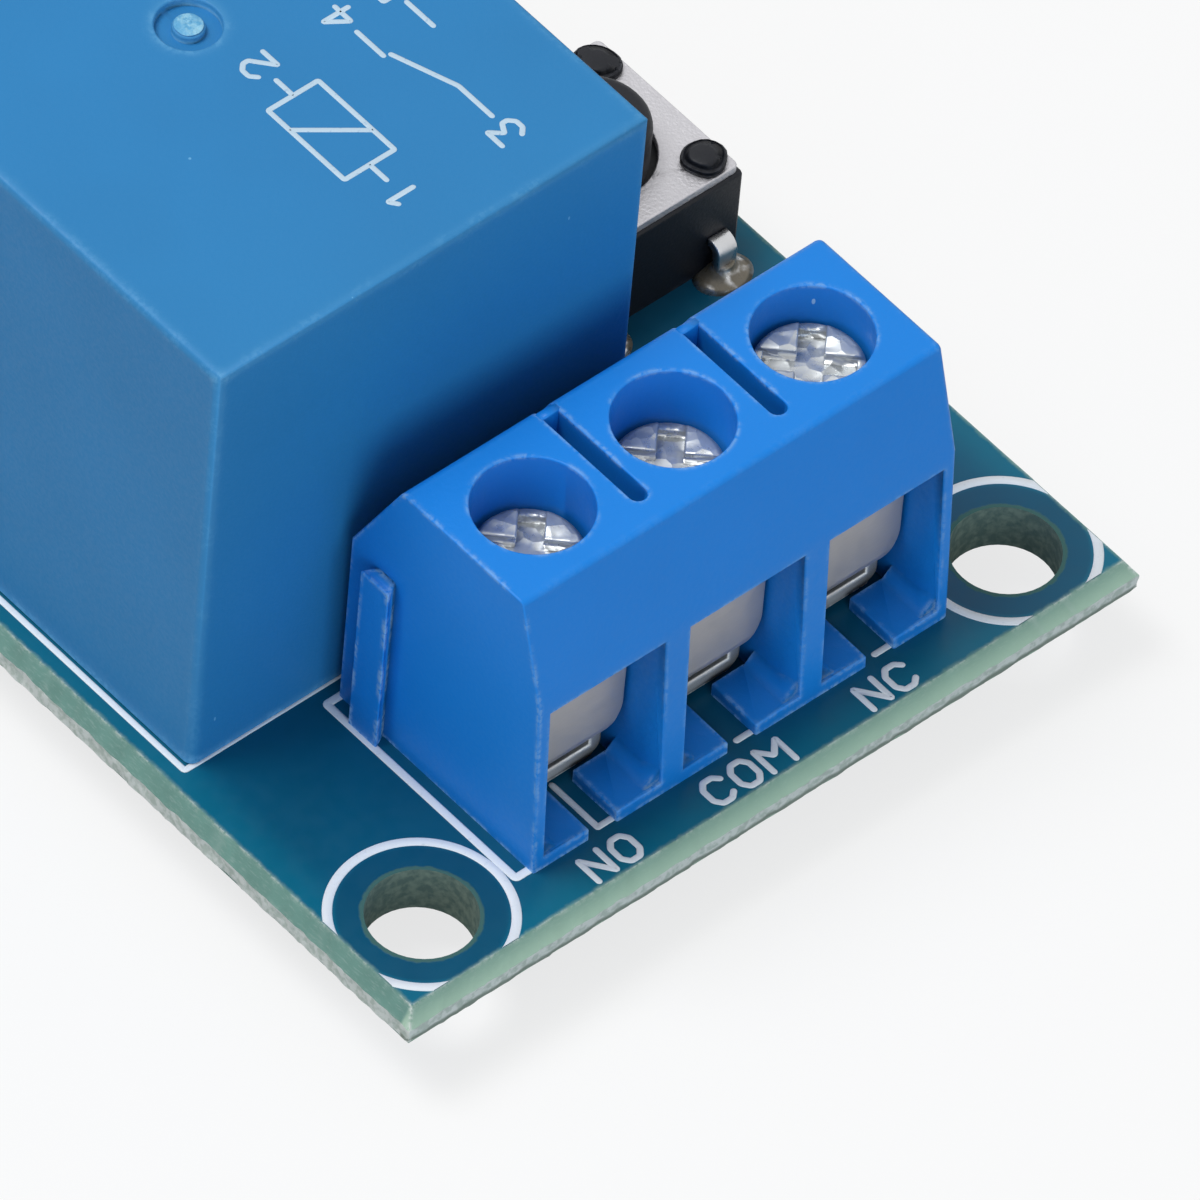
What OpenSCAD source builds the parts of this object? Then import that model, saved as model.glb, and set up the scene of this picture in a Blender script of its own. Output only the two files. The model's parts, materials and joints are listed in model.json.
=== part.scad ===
// One-channel relay module: a board with a sealed changeover relay, a three-way
// screw terminal with rising cages, a push button and a three-pin input header.
// Millimetres. +X runs along the terminal row, +Y from the terminal towards the
// input header, +Z up. The origin is the middle of the four mounting holes on the
// underside of the board.

/* [Board] */
// Width of the board, along the terminal row
board_w = 26.8; // [25.8:0.1:32.8]
// Length of the board
board_l = 50.8; // [48.8:0.1:60.8]
// Thickness of the board
board_t = 1.6; // [1.4:0.1:2.4]
// Depth of the score along the board's edges, on each face
score_depth = 0.55; // [0.2:0.05:0.7]
// How far the slope of the score comes in over the board
score_in = 0.35; // [0.1:0.05:0.5]
// How far the trimmed leads stand out below the board
lead_out = 1.8; // [1.4:0.1:2.6]
// Height of a solder cone below the board
solder_h = 1; // [0.6:0.1:1.2]
// Width of a solder cone beyond its lead on each side
solder_skirt = 0.5; // [0.3:0.05:0.7]

/* [Mounting holes] */
// Diameter of a mounting hole
hole_d = 3.2; // [2.2:0.1:3.5]
// Hole centre in from the side edges
hole_in_x = 2.7; // [2.5:0.1:3.2]
// Hole centre in from the front and rear edges
hole_in_y = 2.65; // [2.5:0.05:3.2]

/* [Relay case] */
// Width of the relay cover
relay_w = 15.5; // [15.2:0.1:16.5]
// Length of the relay cover
relay_l = 19; // [18.6:0.1:20.5]
// Top of the relay cover above the board
relay_h = 16.1; // [15.6:0.1:18]
// Gap from the left edge of the board to the relay
relay_edge_gap = 1.1; // [0.7:0.1:1.9]
// Distance from the front edge of the board to the relay
relay_front_gap = 10.55; // [10.4:0.05:12.4]
// Wall of the relay cover
cover_wall = 0.9; // [0.6:0.05:1]
// Radius of the cover's upright edges
cover_edge_r = 0.3; // [0.2:0.05:0.7]
// Radius of the cover's top rim
cover_rim_r = 0.25; // [0.2:0.05:0.7]
// Diameter of the dished vent on the cover
vent_d = 1.9; // [1.4:0.1:3]
// Diameter of the stub in the middle of the vent
vent_stub_d = 0.95; // [0.6:0.05:1.2]
// Depth of the vent
vent_depth = 0.3; // [0.2:0.05:0.5]
// Vent centre behind the middle of the cover
vent_back = 0.9; // [-4:0.1:4]
// Thickness of the relay base
relay_base_t = 1.8; // [1.2:0.1:2]
// Gap under the relay cover
relay_standoff = 0.05; // [0.05:0.05:0.35]

/* [Relay mechanism] */
// Distance of the outer relay pins from the cover's side walls
pin_in_x = 0.8; // [0.5:0.1:1.2]
// Distance of the contact pins and the common pin from the cover's end walls
pin_in_y = 1.5; // [1.4:0.1:1.8]
// Distance along the relay from the common pin to the coil pins
coil_pin_step = 2; // [1.6:0.1:2.4]
// Outer diameter of the coil bobbin
bobbin_d = 10; // [9:0.1:10.4]
// Room over the upper contact strip
strip_room = 0.4; // [0.2:0.1:1]
// Depth of the winding on the bobbin
winding_depth = 2.2; // [1:0.1:2.4]
// Diameter of the coil core
core_d = 3.6; // [2.6:0.1:4]
// Thickness of the yoke and the armature
iron_t = 1.2; // [0.8:0.1:1.3]
// Width of the yoke and the armature
iron_w = 8; // [6:0.1:9.5]
// Swing of the armature in degrees
armature_swing = 2; // [1:0.1:2.2]
// Diameter of a contact head
contact_d = 2.2; // [1.6:0.1:2.3]
// Thickness of the contact strips
strip_t = 0.4; // [0.3:0.05:0.5]

/* [Terminal block] */
// Distance between the poles of the terminal
pole_pitch = 5.08; // [5:0.02:5.3]
// Sideways place of the terminal from the middle of the board
terminal_off = 0.26; // [-1:0.02:1]
// Distance from the front edge of the board to the foot of the terminal
terminal_front_gap = 1.85; // [1:0.05:2.2]
// Height of the terminal above the board
terminal_h = 10.1; // [9.8:0.1:12]
// Depth of the terminal at its foot
terminal_depth = 8.2; // [8:0.05:8.5]
// How far the top face is set back from the foot at the front
top_front_in = 1.35; // [0.8:0.05:1.5]
// How far the top face is set in from the back
top_back_in = 1.82; // [1.6:0.02:2]
// Height of the ceiling over the wire mouths
mouth_h = 6.1; // [5.9:0.05:6.5]
// Wall between two wire mouths
divider_t = 1.08; // [0.8:0.02:1.2]
// Diameter of the screw wells
well_d = 3.5; // [3.35:0.05:3.85]
// Width of the slots between the poles
top_slot_w = 0.55; // [0.3:0.05:0.8]
// Depth of the slots between the poles
top_slot_depth = 1.4; // [0.6:0.1:2]
// Width of the joining rib on the left end
rib_w = 1.2; // [0.8:0.05:1.5]
// How far the joining rib stands out
rib_out = 0.45; // [0.2:0.05:0.6]
// Middle of the joining rib in from the back
rib_in = 1.5; // [1:0.05:1.6]
// Diameter of the screw head
screw_head_d = 3.2; // [2.95:0.05:3.35]
// Depth of the screw head below the top of the terminal
screw_sunk = 1.8; // [1:0.05:2.2]
// Distance by which the last screw is turned out of its seat
last_screw_out = 0.6; // [0:0.05:0.8]
// Diameter of the screw shank
screw_d = 2.4; // [2:0.05:2.6]
// Width of the cross slots in the screw head
cross_slot_w = 0.75; // [0.5:0.05:1]
// Depth of the cross slots in the screw head
cross_slot_depth = 0.45; // [0.3:0.05:0.9]
// Travel of the clamping cage
cage_travel = 0.75; // [0.4:0.05:1.2]
// Depth of the clamping cage from front to back
cage_l = 3.5; // [3:0.05:3.6]
// Sheet thickness of the cage's sides and floor
cage_t = 0.45; // [0.3:0.05:0.5]
// Thickness of the cage's threaded top
cage_nut_t = 1.3; // [1:0.05:1.4]
// Thickness of the current bar
bar_t = 0.45; // [0.3:0.05:0.6]
// Width of the current bar
bar_w = 2.2; // [1.6:0.05:2.4]
// Width of the shield on the front of the bar
shield_w = 3.8; // [3:0.05:3.9]

/* [Push button] */
// Side of the square button body
button_w = 6.2; // [5.8:0.1:7]
// Gap from the right edge of the board to the button
button_edge_gap = 1.3; // [1:0.1:1.8]
// Distance from the front edge of the board to the button
button_front_gap = 15.6; // [15.2:0.1:20.4]
// Height of the button body under its plate
button_h = 3.4; // [3.2:0.1:4.2]
// Thickness of the button plate
button_plate_t = 0.25; // [0.2:0.05:0.4]
// Diameter of the plunger
plunger_d = 3.5; // [2.8:0.1:3.6]
// How far the plunger stands above the plate
plunger_out = 1.4; // [0.8:0.1:6]
// Travel of the plunger
plunger_travel = 0.25; // [0.1:0.05:0.3]
// Diameter of the staked heads that hold the plate
stake_head_d = 1.4; // [1.1:0.05:1.5]
// Height of the staked heads above the plate
stake_head_h = 0.3; // [0.25:0.05:0.65]
// Sideways distance between the button legs
leg_pitch = 4.5; // [4.2:0.1:4.6]

/* [Input header] */
// Distance between the header pins
header_pitch = 2.54; // [2.5:0.02:2.6]
// Header row in from the rear edge of the board
header_in = 3; // [2.2:0.1:3.4]
// Length of the header pins above their body
header_pin_out = 6; // [4:0.5:9]
// Side of a square header pin
header_pin_w = 0.64; // [0.5:0.02:0.7]

/* [Small parts] */
// Length of the latch chip body
chip_l = 4.9; // [4.6:0.1:5.4]
// Width of the latch chip body
chip_w = 3.9; // [3.4:0.1:4.2]
// Height of the latch chip body
chip_h = 1.4; // [1.2:0.1:1.8]
// Length of a chip resistor
resistor_l = 2; // [1.8:0.1:2.6]
// Width of a chip resistor
resistor_w = 1.25; // [1:0.05:1.6]
// Height of a chip resistor
resistor_h = 0.5; // [0.4:0.05:0.7]
// Length of the flyback diode body
diode_l = 4.3; // [3.8:0.1:5]
// Width of the flyback diode body
diode_w = 2.6; // [2.2:0.1:3]
// Height of the flyback diode body
diode_h = 2.1; // [1.6:0.1:2.6]

/* [Hidden] */
$fn = 64;

// Colours of the finishes
blue_cover = [0.24, 0.53, 0.76];
blue_terminal = [0.15, 0.45, 0.82];
teal_mask = [0.07, 0.40, 0.50];
zinc = [0.80, 0.82, 0.83];
tin = [0.76, 0.77, 0.78];
black_plastic = [0.10, 0.10, 0.12];
copper = [0.72, 0.42, 0.22];
iron = [0.56, 0.57, 0.58];
brass = [0.80, 0.68, 0.40];

// Clearances that the fits share
slip = 0.05;
near = 0.1;
gap = 0.2;
lead_fit = 0.02;
past = 1;

// Board
front_y = -board_l / 2;
rear_y = board_l / 2;
left_x = -board_w / 2;
right_x = board_w / 2;
hole_x = board_w / 2 - hole_in_x;
hole_y = board_l / 2 - hole_in_y;
lead_z = -lead_out;

// Relay case
relay_x = left_x + relay_edge_gap + relay_w / 2;
relay_y = front_y + relay_front_gap + relay_l / 2;
relay_top = board_t + relay_h;
cover_z = board_t + relay_standoff;
inner_w = relay_w - 2 * cover_wall;
inner_l = relay_l - 2 * cover_wall;
inner_top = relay_top - cover_wall;
base_z = cover_z + near;
base_top = base_z + relay_base_t;
foot_d = 1.2;
foot_x = inner_w / 2 - 2 * foot_d;
foot_y = inner_l / 2 - foot_d;

// Relay pins
relay_pin_x = inner_w / 2 - pin_in_x;
common_y = inner_l / 2 - pin_in_y;
contact_y = -inner_l / 2 + pin_in_y;
coil_pin_y = common_y - coil_pin_step;
coil_pin_d = 0.6;
strip_pin_w = 1;
strip_w = contact_d + gap;

// Relay magnet, between the base and the armature
yoke_back = common_y + iron_t / 2;
yoke_front = yoke_back - iron_t;
flange_t = 0.8;
coil_y = yoke_front - gap - bobbin_d / 2;
bobbin_z = base_top + iron_t;
barrel_d = bobbin_d - 2 * winding_depth - 4 * gap;
pole_rim = 1.5;
pole_d = core_d + 2 * pole_rim;
pole_t = 0.6;

// Relay armature and contacts, stacked down from the cover, drawn pulled in and then swung
// open about the back edge of the yoke
spring_t = 0.25;
spring_in = 1;
spring_w = iron_w - 2 * spring_in;
spring_tip_w = contact_d + gap;
spring_tail = 4;
spring_tail_gap = 0.3;
head_t = 0.5;
contact_shank_d = contact_d / 2;
contact_lift = (yoke_back - contact_y + contact_d / 2) * sin(armature_swing);
closed_strip_z = inner_top - strip_room - strip_t;
closed_z = closed_strip_z - head_t;
arm_top = closed_z - near - contact_lift - head_t - spring_t;
arm_z = arm_top - iron_t;
arm_front = coil_y - pole_d / 2;
open_z = arm_top - head_t - near;
open_strip_z = open_z - head_t - strip_t;
pole_z = arm_z - slip;
bobbin_top = pole_z - pole_t;

// Terminal block
poles = 3;
terminal_w = poles * pole_pitch;
terminal_front = front_y + terminal_front_gap;
terminal_back = terminal_front + terminal_depth;
terminal_top = board_t + terminal_h;
top_front = terminal_front + top_front_in;
top_back = terminal_back - top_back_in;
axis_y = (top_front + top_back) / 2;
front_break_in = 0.35;
mouth_top = board_t + mouth_h;
break_rise = 0.5;
break_z = mouth_top + break_rise;
mouth_w = pole_pitch - divider_t;
flare_w = 0.15;
flare_depth = 0.8;
floor_front_t = 0.4;
floor_back_t = 0.45;
floor_slot_w = 1;
ramp_w = 0.45;
ramp_in = 0.15;
ramp_root = 0.25;
top_slot_front = top_front + 2 * top_slot_w;
rib_y = terminal_back - rib_in;
rib_z = break_z - gap;
groove_fit = 0.05;
rib_root = 0.2;

// Clamping cage, drawn at the bottom of its travel
cage_front = axis_y - cage_l / 2;
cage_back = axis_y + cage_l / 2;
cage_lift = 0.25;
cage_z = board_t + cage_lift;
cage_floor = cage_z + cage_t;
bar_z = cage_floor + cage_travel + near;
bar_top = bar_z + bar_t;
nut_z = bar_top + gap;
cage_top = nut_z + cage_nut_t;
cage_corner_r = cage_t;
cage_in_w = screw_d + 2 * near;
cage_w = cage_in_w + 2 * cage_t;

// Current bar with its shield and pin
shield_gap = 0.1;
shield_t = bar_t;
shield_back = cage_front - shield_gap;
shield_front = shield_back - shield_t;
shield_top = mouth_top - gap;
shield_corner_r = 1.2;
bend_r = 0.5;
bar_pin_w = 1;
bar_pin_t = 0.6;
bar_pin_gap = 0.6;
bar_pin_front = cage_back + bar_pin_gap;
bar_pin_back = bar_pin_front + bar_pin_t;
bar_pin_y = (bar_pin_front + bar_pin_back) / 2;
well_front = cage_front - gap;
well_back = cage_back + gap;
pin_slot_w = bar_w + lead_fit;
pin_slot_back = bar_pin_back + lead_fit / 2;

// Terminal screw
shoulder_t = 0.5;
shoulder_d = screw_d + 2 * near;
head_top = terminal_top - screw_sunk;
head_z = mouth_top + shoulder_t + slip;
screw_tip = bar_top + slip;
head_edge = 0.15;
cross_turn = 45;
cross_end = 0.3;
cross_end_depth = 0.15;
tip_edge = 0.35;

// Push button
button_x = right_x - button_edge_gap - button_w / 2;
button_y = front_y + button_front_gap + button_w / 2;
button_top = board_t + button_h;
plate_top = button_top + button_plate_t;
stake_in = 0.85;
stake_x = button_w / 2 - stake_in;
stake_d = 0.8;
stake_edge = 0.15;
plunger_edge = 0.2;
plunger_hole_d = plunger_d + 2 * gap;
plunger_rim = 0.55;
flange_d = plunger_d + 2 * plunger_rim;
plunger_flange_t = 0.7;
button_floor_t = 0.7;
button_floor = board_t + button_floor_t;
well_button_d = flange_d + 3 * near;
dome_d = flange_d;
dome_h = 0.5;
dome_t = 0.1;
dome_seat = button_floor;
plunger_foot = dome_seat + dome_h + plunger_travel + slip;
plunger_top = plate_top + plunger_out;
leg_w = 0.7;
leg_t = 0.3;
leg_h = 1.4;
leg_out = 0.4;
leg_bend_r = 0.45;
leg_top = board_t + leg_h;
leg_y = button_w / 2 + leg_out;

// Input header
header_y = rear_y - header_in;
header_pins_n = 3;
header_h = header_pitch;
header_cut = 0.5;

// Small parts between the relay and the header
relay_rear = relay_y + relay_l / 2;
first_row = 4.4;
second_row = 9.6;
chip_in = 7.2;
chip_x = left_x + chip_in;
chip_y = relay_rear + first_row;
chip_pitch = 1.27;
chip_gap = 0.15;
chip_reach = 1.05;
chip_lead_w = 0.42;
chip_lead_t = 0.2;
transistor_x = 2.6;
transistor_y = relay_rear + first_row;
transistor_l = 2.9;
transistor_w = 1.3;
transistor_h = 1;
transistor_pitch = 0.95;
transistor_reach = 0.55;
diode_in = 5.2;
diode_x = right_x - diode_in;
diode_y = relay_rear + first_row;
diode_tab_w = 1.5;
diode_tab_t = 0.25;
diode_lift = 0.1;
led_in = 4.8;
led_x = right_x - led_in;
led_y = relay_rear + second_row;
led_base_h = 0.35;
led_h = 0.8;
cap_t = 0.4;
cap_in = resistor_l / 2 - cap_t;
resistor_x = [-0.4, 2.2, 4.8];
resistor_y = relay_rear + second_row;

// Square corners rounded in plan
module rounded_rect(w, l, r) {
    square([w - 2 * r, l], center = true);
    square([w, l - 2 * r], center = true);
    for (sx = [-1, 1], sy = [-1, 1])
        translate([sx * (w / 2 - r), sy * (l / 2 - r)]) circle(r);
}

// An upright outline with its two top corners rounded
module round_topped(w, h, r) {
    translate([-w / 2, 0]) square([w, h - r]);
    translate([-w / 2 + r, 0]) square([w - 2 * r, h]);
    for (s = [-1, 1]) translate([s * (w / 2 - r), h - r]) circle(r);
}

// A block with rounded upright edges and a rounded top rim
module soft_block(w, l, h, edge_r, rim_r) {
    intersection() {
        linear_extrude(h) rounded_rect(w, l, edge_r);
        rotate([90, 0, 0]) linear_extrude(l + past, center = true) round_topped(w, h, rim_r);
        rotate([90, 0, 90]) linear_extrude(w + past, center = true) round_topped(l, h, rim_r);
    }
}

// A block given by its two opposite corners
module span(a, b) {
    translate(a) cube(b - a);
}

// A profile in the Y-Z plane carried across X
module across_x(w) {
    rotate([90, 0, 90]) linear_extrude(w, center = true) children();
}

// A profile in the X-Z plane carried from front to back
module along_y(y0, y1) {
    translate([0, y1, 0]) rotate([90, 0, 0]) linear_extrude(y1 - y0) children();
}

// An upright tube
module tube(d_out, d_in, z0, z1) {
    translate([0, 0, z0]) difference() {
        cylinder(d = d_out, h = z1 - z0);
        translate([0, 0, -past]) cylinder(d = d_in, h = z1 - z0 + 2 * past);
    }
}

// A round post with its top edge broken
module turned(d, h, edge) {
    rotate_extrude() polygon([[0, 0], [d / 2, 0], [d / 2, h - edge], [d / 2 - edge, h], [0, h]]);
}

// Places on the board
function pole_x(n) = terminal_off + (n - (poles + 1) / 2) * pole_pitch;
function header_x(n) = (n - (header_pins_n + 1) / 2) * header_pitch;
module at_relay() translate([relay_x, relay_y, 0]) children();
module at_button() translate([button_x, button_y, 0]) children();
module at_holes() for (sx = [-1, 1], sy = [-1, 1]) translate([sx * hole_x, sy * hole_y, 0]) children();

// Every lead that goes through the board: place and section
flat_leads = concat(
    [for (s = [-1, 1]) [relay_x + s * relay_pin_x, relay_y + contact_y, strip_t, strip_pin_w]],
    [[relay_x, relay_y + common_y, strip_pin_w, strip_t]],
    [for (n = [1 : poles]) [pole_x(n), bar_pin_y, bar_pin_w, bar_pin_t]],
    [for (sx = [-1, 1], sy = [-1, 1])
        [button_x + sx * leg_pitch / 2, button_y + sy * leg_y, leg_w, leg_t]],
    [for (n = [1 : header_pins_n]) [header_x(n), header_y, header_pin_w, header_pin_w]]
);
round_leads = [for (s = [-1, 1]) [relay_x + s * relay_pin_x, relay_y + coil_pin_y, coil_pin_d]];
function lead_hole_d(w, t) = sqrt(w * w + t * t) + gap;

// Section of the board: snapped edges between two sloping score faces
module scored_outline(w) {
    half = w / 2;
    polygon([
        [-half + score_in, 0], [half - score_in, 0], [half, score_depth], [half, board_t - score_depth],
        [half - score_in, board_t], [-half + score_in, board_t], [-half, board_t - score_depth],
        [-half, score_depth]
    ]);
}

module circuit_board() {
    color(teal_mask) difference() {
        intersection() {
            across_x(board_w) scored_outline(board_l);
            along_y(front_y, rear_y) scored_outline(board_w);
        }
        at_holes() translate([0, 0, -past]) cylinder(d = hole_d, h = board_t + 2 * past);
        for (p = flat_leads)
            translate([p[0], p[1], -past]) cylinder(d = lead_hole_d(p[2], p[3]), h = board_t + 2 * past);
        for (p = round_leads)
            translate([p[0], p[1], -past]) cylinder(d = p[2] + gap, h = board_t + 2 * past);
    }
}

// One cone of solder under the board, round the lead that comes through it
module solder_cone(d) {
    translate([0, 0, -solder_h]) cylinder(d1 = d + gap, d2 = d + 2 * solder_skirt, h = solder_h);
}

module solder_joints() {
    color(tin) {
        for (p = flat_leads) translate([p[0], p[1], 0]) difference() {
            solder_cone(lead_hole_d(p[2], p[3]));
            cube([p[2] + lead_fit, p[3] + lead_fit, 2 * lead_out + past], center = true);
        }
        for (p = round_leads) translate([p[0], p[1], 0]) difference() {
            solder_cone(p[2] + gap);
            cylinder(d = p[2] + lead_fit, h = 2 * lead_out + past, center = true);
        }
    }
}

module relay_cover() {
    color(blue_cover) at_relay() {
        difference() {
            translate([0, 0, cover_z])
                soft_block(relay_w, relay_l, relay_top - cover_z, cover_edge_r, cover_rim_r);
            translate([0, 0, cover_z - past])
                linear_extrude(inner_top - cover_z + past) square([inner_w, inner_l], center = true);
            translate([0, vent_back, relay_top - vent_depth]) cylinder(d = vent_d, h = vent_depth + past);
        }
        translate([0, vent_back, relay_top - vent_depth - slip]) cylinder(d = vent_stub_d, h = vent_depth);
    }
}

module relay_base() {
    color(blue_cover) at_relay() difference() {
        union() {
            translate([0, 0, base_z]) linear_extrude(relay_base_t)
                square([inner_w - 2 * slip, inner_l - 2 * slip], center = true);
            for (sx = [-1, 1], sy = [-1, 1]) translate([sx * foot_x, sy * foot_y, board_t])
                cylinder(d = foot_d, h = base_z - board_t + slip);
        }
        for (s = [-1, 1]) {
            translate([s * relay_pin_x, contact_y, 0])
                cube([strip_t + lead_fit, strip_pin_w + lead_fit, 4 * base_top], center = true);
            translate([s * relay_pin_x, coil_pin_y, 0])
                cylinder(d = coil_pin_d + lead_fit, h = 4 * base_top, center = true);
        }
        translate([0, common_y, 0])
            cube([strip_pin_w + lead_fit, strip_t + lead_fit, 4 * base_top], center = true);
    }
}

module coil_bobbin() {
    color(black_plastic) at_relay() translate([0, coil_y, 0]) {
        tube(bobbin_d, core_d + 2 * slip, bobbin_z, bobbin_z + flange_t);
        tube(barrel_d, core_d + 2 * slip, bobbin_z, bobbin_top);
        tube(bobbin_d, core_d + 2 * slip, bobbin_top - flange_t, bobbin_top);
    }
}

module coil_winding() {
    color(copper) at_relay() translate([0, coil_y, 0])
        tube(barrel_d + 2 * winding_depth, barrel_d + lead_fit, bobbin_z + flange_t + lead_fit,
            bobbin_top - flange_t - lead_fit);
}

module coil_core() {
    color(iron) at_relay() translate([0, coil_y, 0]) {
        translate([0, 0, base_top + lead_fit]) cylinder(d = core_d, h = pole_z - base_top - lead_fit);
        translate([0, 0, bobbin_top + lead_fit]) cylinder(d = pole_d, h = pole_t - lead_fit);
    }
}

module coil_pins() {
    color(tin) at_relay() for (s = [-1, 1]) translate([s * relay_pin_x, coil_pin_y, lead_z])
        cylinder(d = coil_pin_d, h = bobbin_z + flange_t - lead_z);
}

module relay_yoke() {
    color(iron) at_relay() difference() {
        union() {
            span([-iron_w / 2, coil_y - pole_d / 2, base_top], [iron_w / 2, yoke_back, bobbin_z]);
            span([-iron_w / 2, yoke_front, base_top], [iron_w / 2, yoke_back, pole_z]);
        }
        translate([0, coil_y, base_top - past]) cylinder(d = core_d + 2 * slip, h = iron_t + 2 * past);
    }
}

// Swings what is drawn pulled in to the released rest position
module released() {
    at_relay() translate([0, yoke_back, arm_z]) rotate([-armature_swing, 0, 0])
        translate([0, -yoke_back, -arm_z]) children();
}

module relay_armature() {
    color(iron) released() span([-iron_w / 2, arm_front, arm_z], [iron_w / 2, yoke_back, arm_top]);
}

module contact_spring() {
    tail_front = yoke_back + spring_tail_gap;
    tip_front = contact_y - contact_d / 2;
    color(brass) released() difference() {
        union() {
            span([-spring_w / 2, arm_front, arm_top],
                [spring_w / 2, tail_front + spring_t, arm_top + spring_t]);
            span([-spring_tip_w / 2, tip_front, arm_top], [spring_tip_w / 2, arm_front, arm_top + spring_t]);
            span([-spring_w / 2, tail_front, arm_z - spring_tail],
                [spring_w / 2, tail_front + spring_t, arm_top + spring_t]);
        }
        translate([0, contact_y, arm_top - past]) cylinder(d = contact_shank_d + lead_fit, h = 2 * past);
    }
}

module moving_contact() {
    color(zinc) released() translate([0, contact_y, arm_top]) {
        translate([0, 0, -head_t]) cylinder(d = contact_d, h = head_t);
        translate([0, 0, -slip]) cylinder(d = contact_shank_d, h = spring_t + 2 * slip);
        translate([0, 0, spring_t]) cylinder(d = contact_d, h = head_t);
    }
}

// A fixed contact on a strip that rises from its pin and turns in over the middle
module fixed_contact(side, strip_z, face_z) {
    head_low = min(strip_z + slip, face_z);
    head_high = max(strip_z + slip, face_z);
    at_relay() mirror([side > 0 ? 0 : 1, 0, 0]) {
        span([relay_pin_x - strip_t / 2, contact_y - strip_pin_w / 2, lead_z],
            [relay_pin_x + strip_t / 2, contact_y + strip_pin_w / 2, strip_z + strip_t]);
        span([-contact_d / 2, contact_y - strip_w / 2, strip_z],
            [relay_pin_x + strip_t / 2, contact_y + strip_w / 2, strip_z + strip_t]);
        translate([0, contact_y, head_low]) cylinder(d = contact_d, h = head_high - head_low);
    }
}

module closed_contact() {
    color(brass) fixed_contact(1, closed_strip_z, closed_z);
}

module open_contact() {
    color(brass) fixed_contact(-1, open_strip_z, open_z);
}

module common_pin() {
    color(brass) at_relay() span([-strip_pin_w / 2, common_y - strip_t / 2, lead_z],
        [strip_pin_w / 2, common_y + strip_t / 2, base_top]);
}

// Side view of the terminal: sloped front over the mouths and a sloped back
module terminal_outline() {
    polygon([
        [terminal_front, board_t], [terminal_back, board_t], [terminal_back, break_z],
        [top_back, terminal_top], [top_front, terminal_top], [terminal_front + front_break_in, break_z]
    ]);
}

// Side view of one pole's hollow: a sloping wire floor and a pit for the cage
module pole_hollow_outline() {
    out = terminal_front - past;
    polygon([
        [out, board_t + floor_front_t], [terminal_front, board_t + floor_front_t],
        [well_front, board_t + floor_back_t], [well_front, board_t - past],
        [well_back, board_t - past], [well_back, mouth_top], [out, mouth_top]
    ]);
}

// A mouth in plan where it widens to the front
module mouth_flare_outline() {
    half = mouth_w / 2;
    out = terminal_front - past;
    polygon([[-half - flare_w, out], [half + flare_w, out], [half + flare_w, terminal_front],
        [half, terminal_front + flare_depth], [-half, terminal_front + flare_depth],
        [-half - flare_w, terminal_front]]);
}

// A joining rib in plan, wider at its outer face
module rib_outline(extra) {
    half = rib_w / 2 + extra;
    polygon([[past, half - rib_out / 2], [0, half - rib_out / 2], [-rib_out - extra, half],
        [-rib_out - extra, -half], [0, -half + rib_out / 2], [past, -half + rib_out / 2]]);
}

// Front view of the slope between a mouth's floor and its right wall, rooted in both
module ramp_outline() {
    low_z = board_t + gap;
    low_x = mouth_w / 2 - ramp_w - (floor_front_t - gap);
    wall_x = mouth_w / 2 + ramp_root;
    polygon([[low_x, low_z], [wall_x, low_z], [wall_x, low_z + wall_x - low_x]]);
}

module terminal_housing() {
    color(blue_terminal) {
        difference() {
            translate([terminal_off, 0, 0]) across_x(terminal_w) terminal_outline();
            for (n = [1 : poles]) translate([pole_x(n), 0, 0]) {
                across_x(mouth_w) pole_hollow_outline();
                intersection() {
                    across_x(mouth_w + 2 * flare_w) pole_hollow_outline();
                    linear_extrude(break_z) mouth_flare_outline();
                }
                translate([0, axis_y, mouth_top + shoulder_t]) cylinder(d = well_d, h = terminal_h);
                translate([0, axis_y, mouth_top - past]) cylinder(d = shoulder_d, h = terminal_h);
                span([-pin_slot_w / 2, axis_y, board_t - past], [pin_slot_w / 2, pin_slot_back, mouth_top]);
                span([-floor_slot_w / 2, terminal_front - past, board_t - past],
                    [floor_slot_w / 2, well_front + slip, board_t + floor_back_t + past]);
            }
            for (n = [1 : poles - 1])
                translate([pole_x(n) + pole_pitch / 2, top_slot_front, terminal_top - top_slot_depth]) {
                    span([-top_slot_w / 2, 0, 0], [top_slot_w / 2, terminal_depth, top_slot_depth + past]);
                    cylinder(d = top_slot_w, h = top_slot_depth + past);
                }
            translate([terminal_off + terminal_w / 2, rib_y, board_t - past])
                linear_extrude(rib_z - board_t + past + groove_fit) rib_outline(groove_fit);
        }
        intersection() {
            translate([terminal_off - terminal_w / 2, rib_y, board_t])
                linear_extrude(rib_z - board_t) rib_outline(0);
            span([terminal_off - terminal_w / 2 - past, terminal_front, board_t],
                [terminal_off - terminal_w / 2 + rib_root, terminal_back, rib_z]);
        }
        for (n = [1 : poles], side = [0, 1]) translate([pole_x(n), 0, 0]) mirror([side, 0, 0])
            along_y(terminal_front + ramp_in, well_front - slip) ramp_outline();
    }
}

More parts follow.
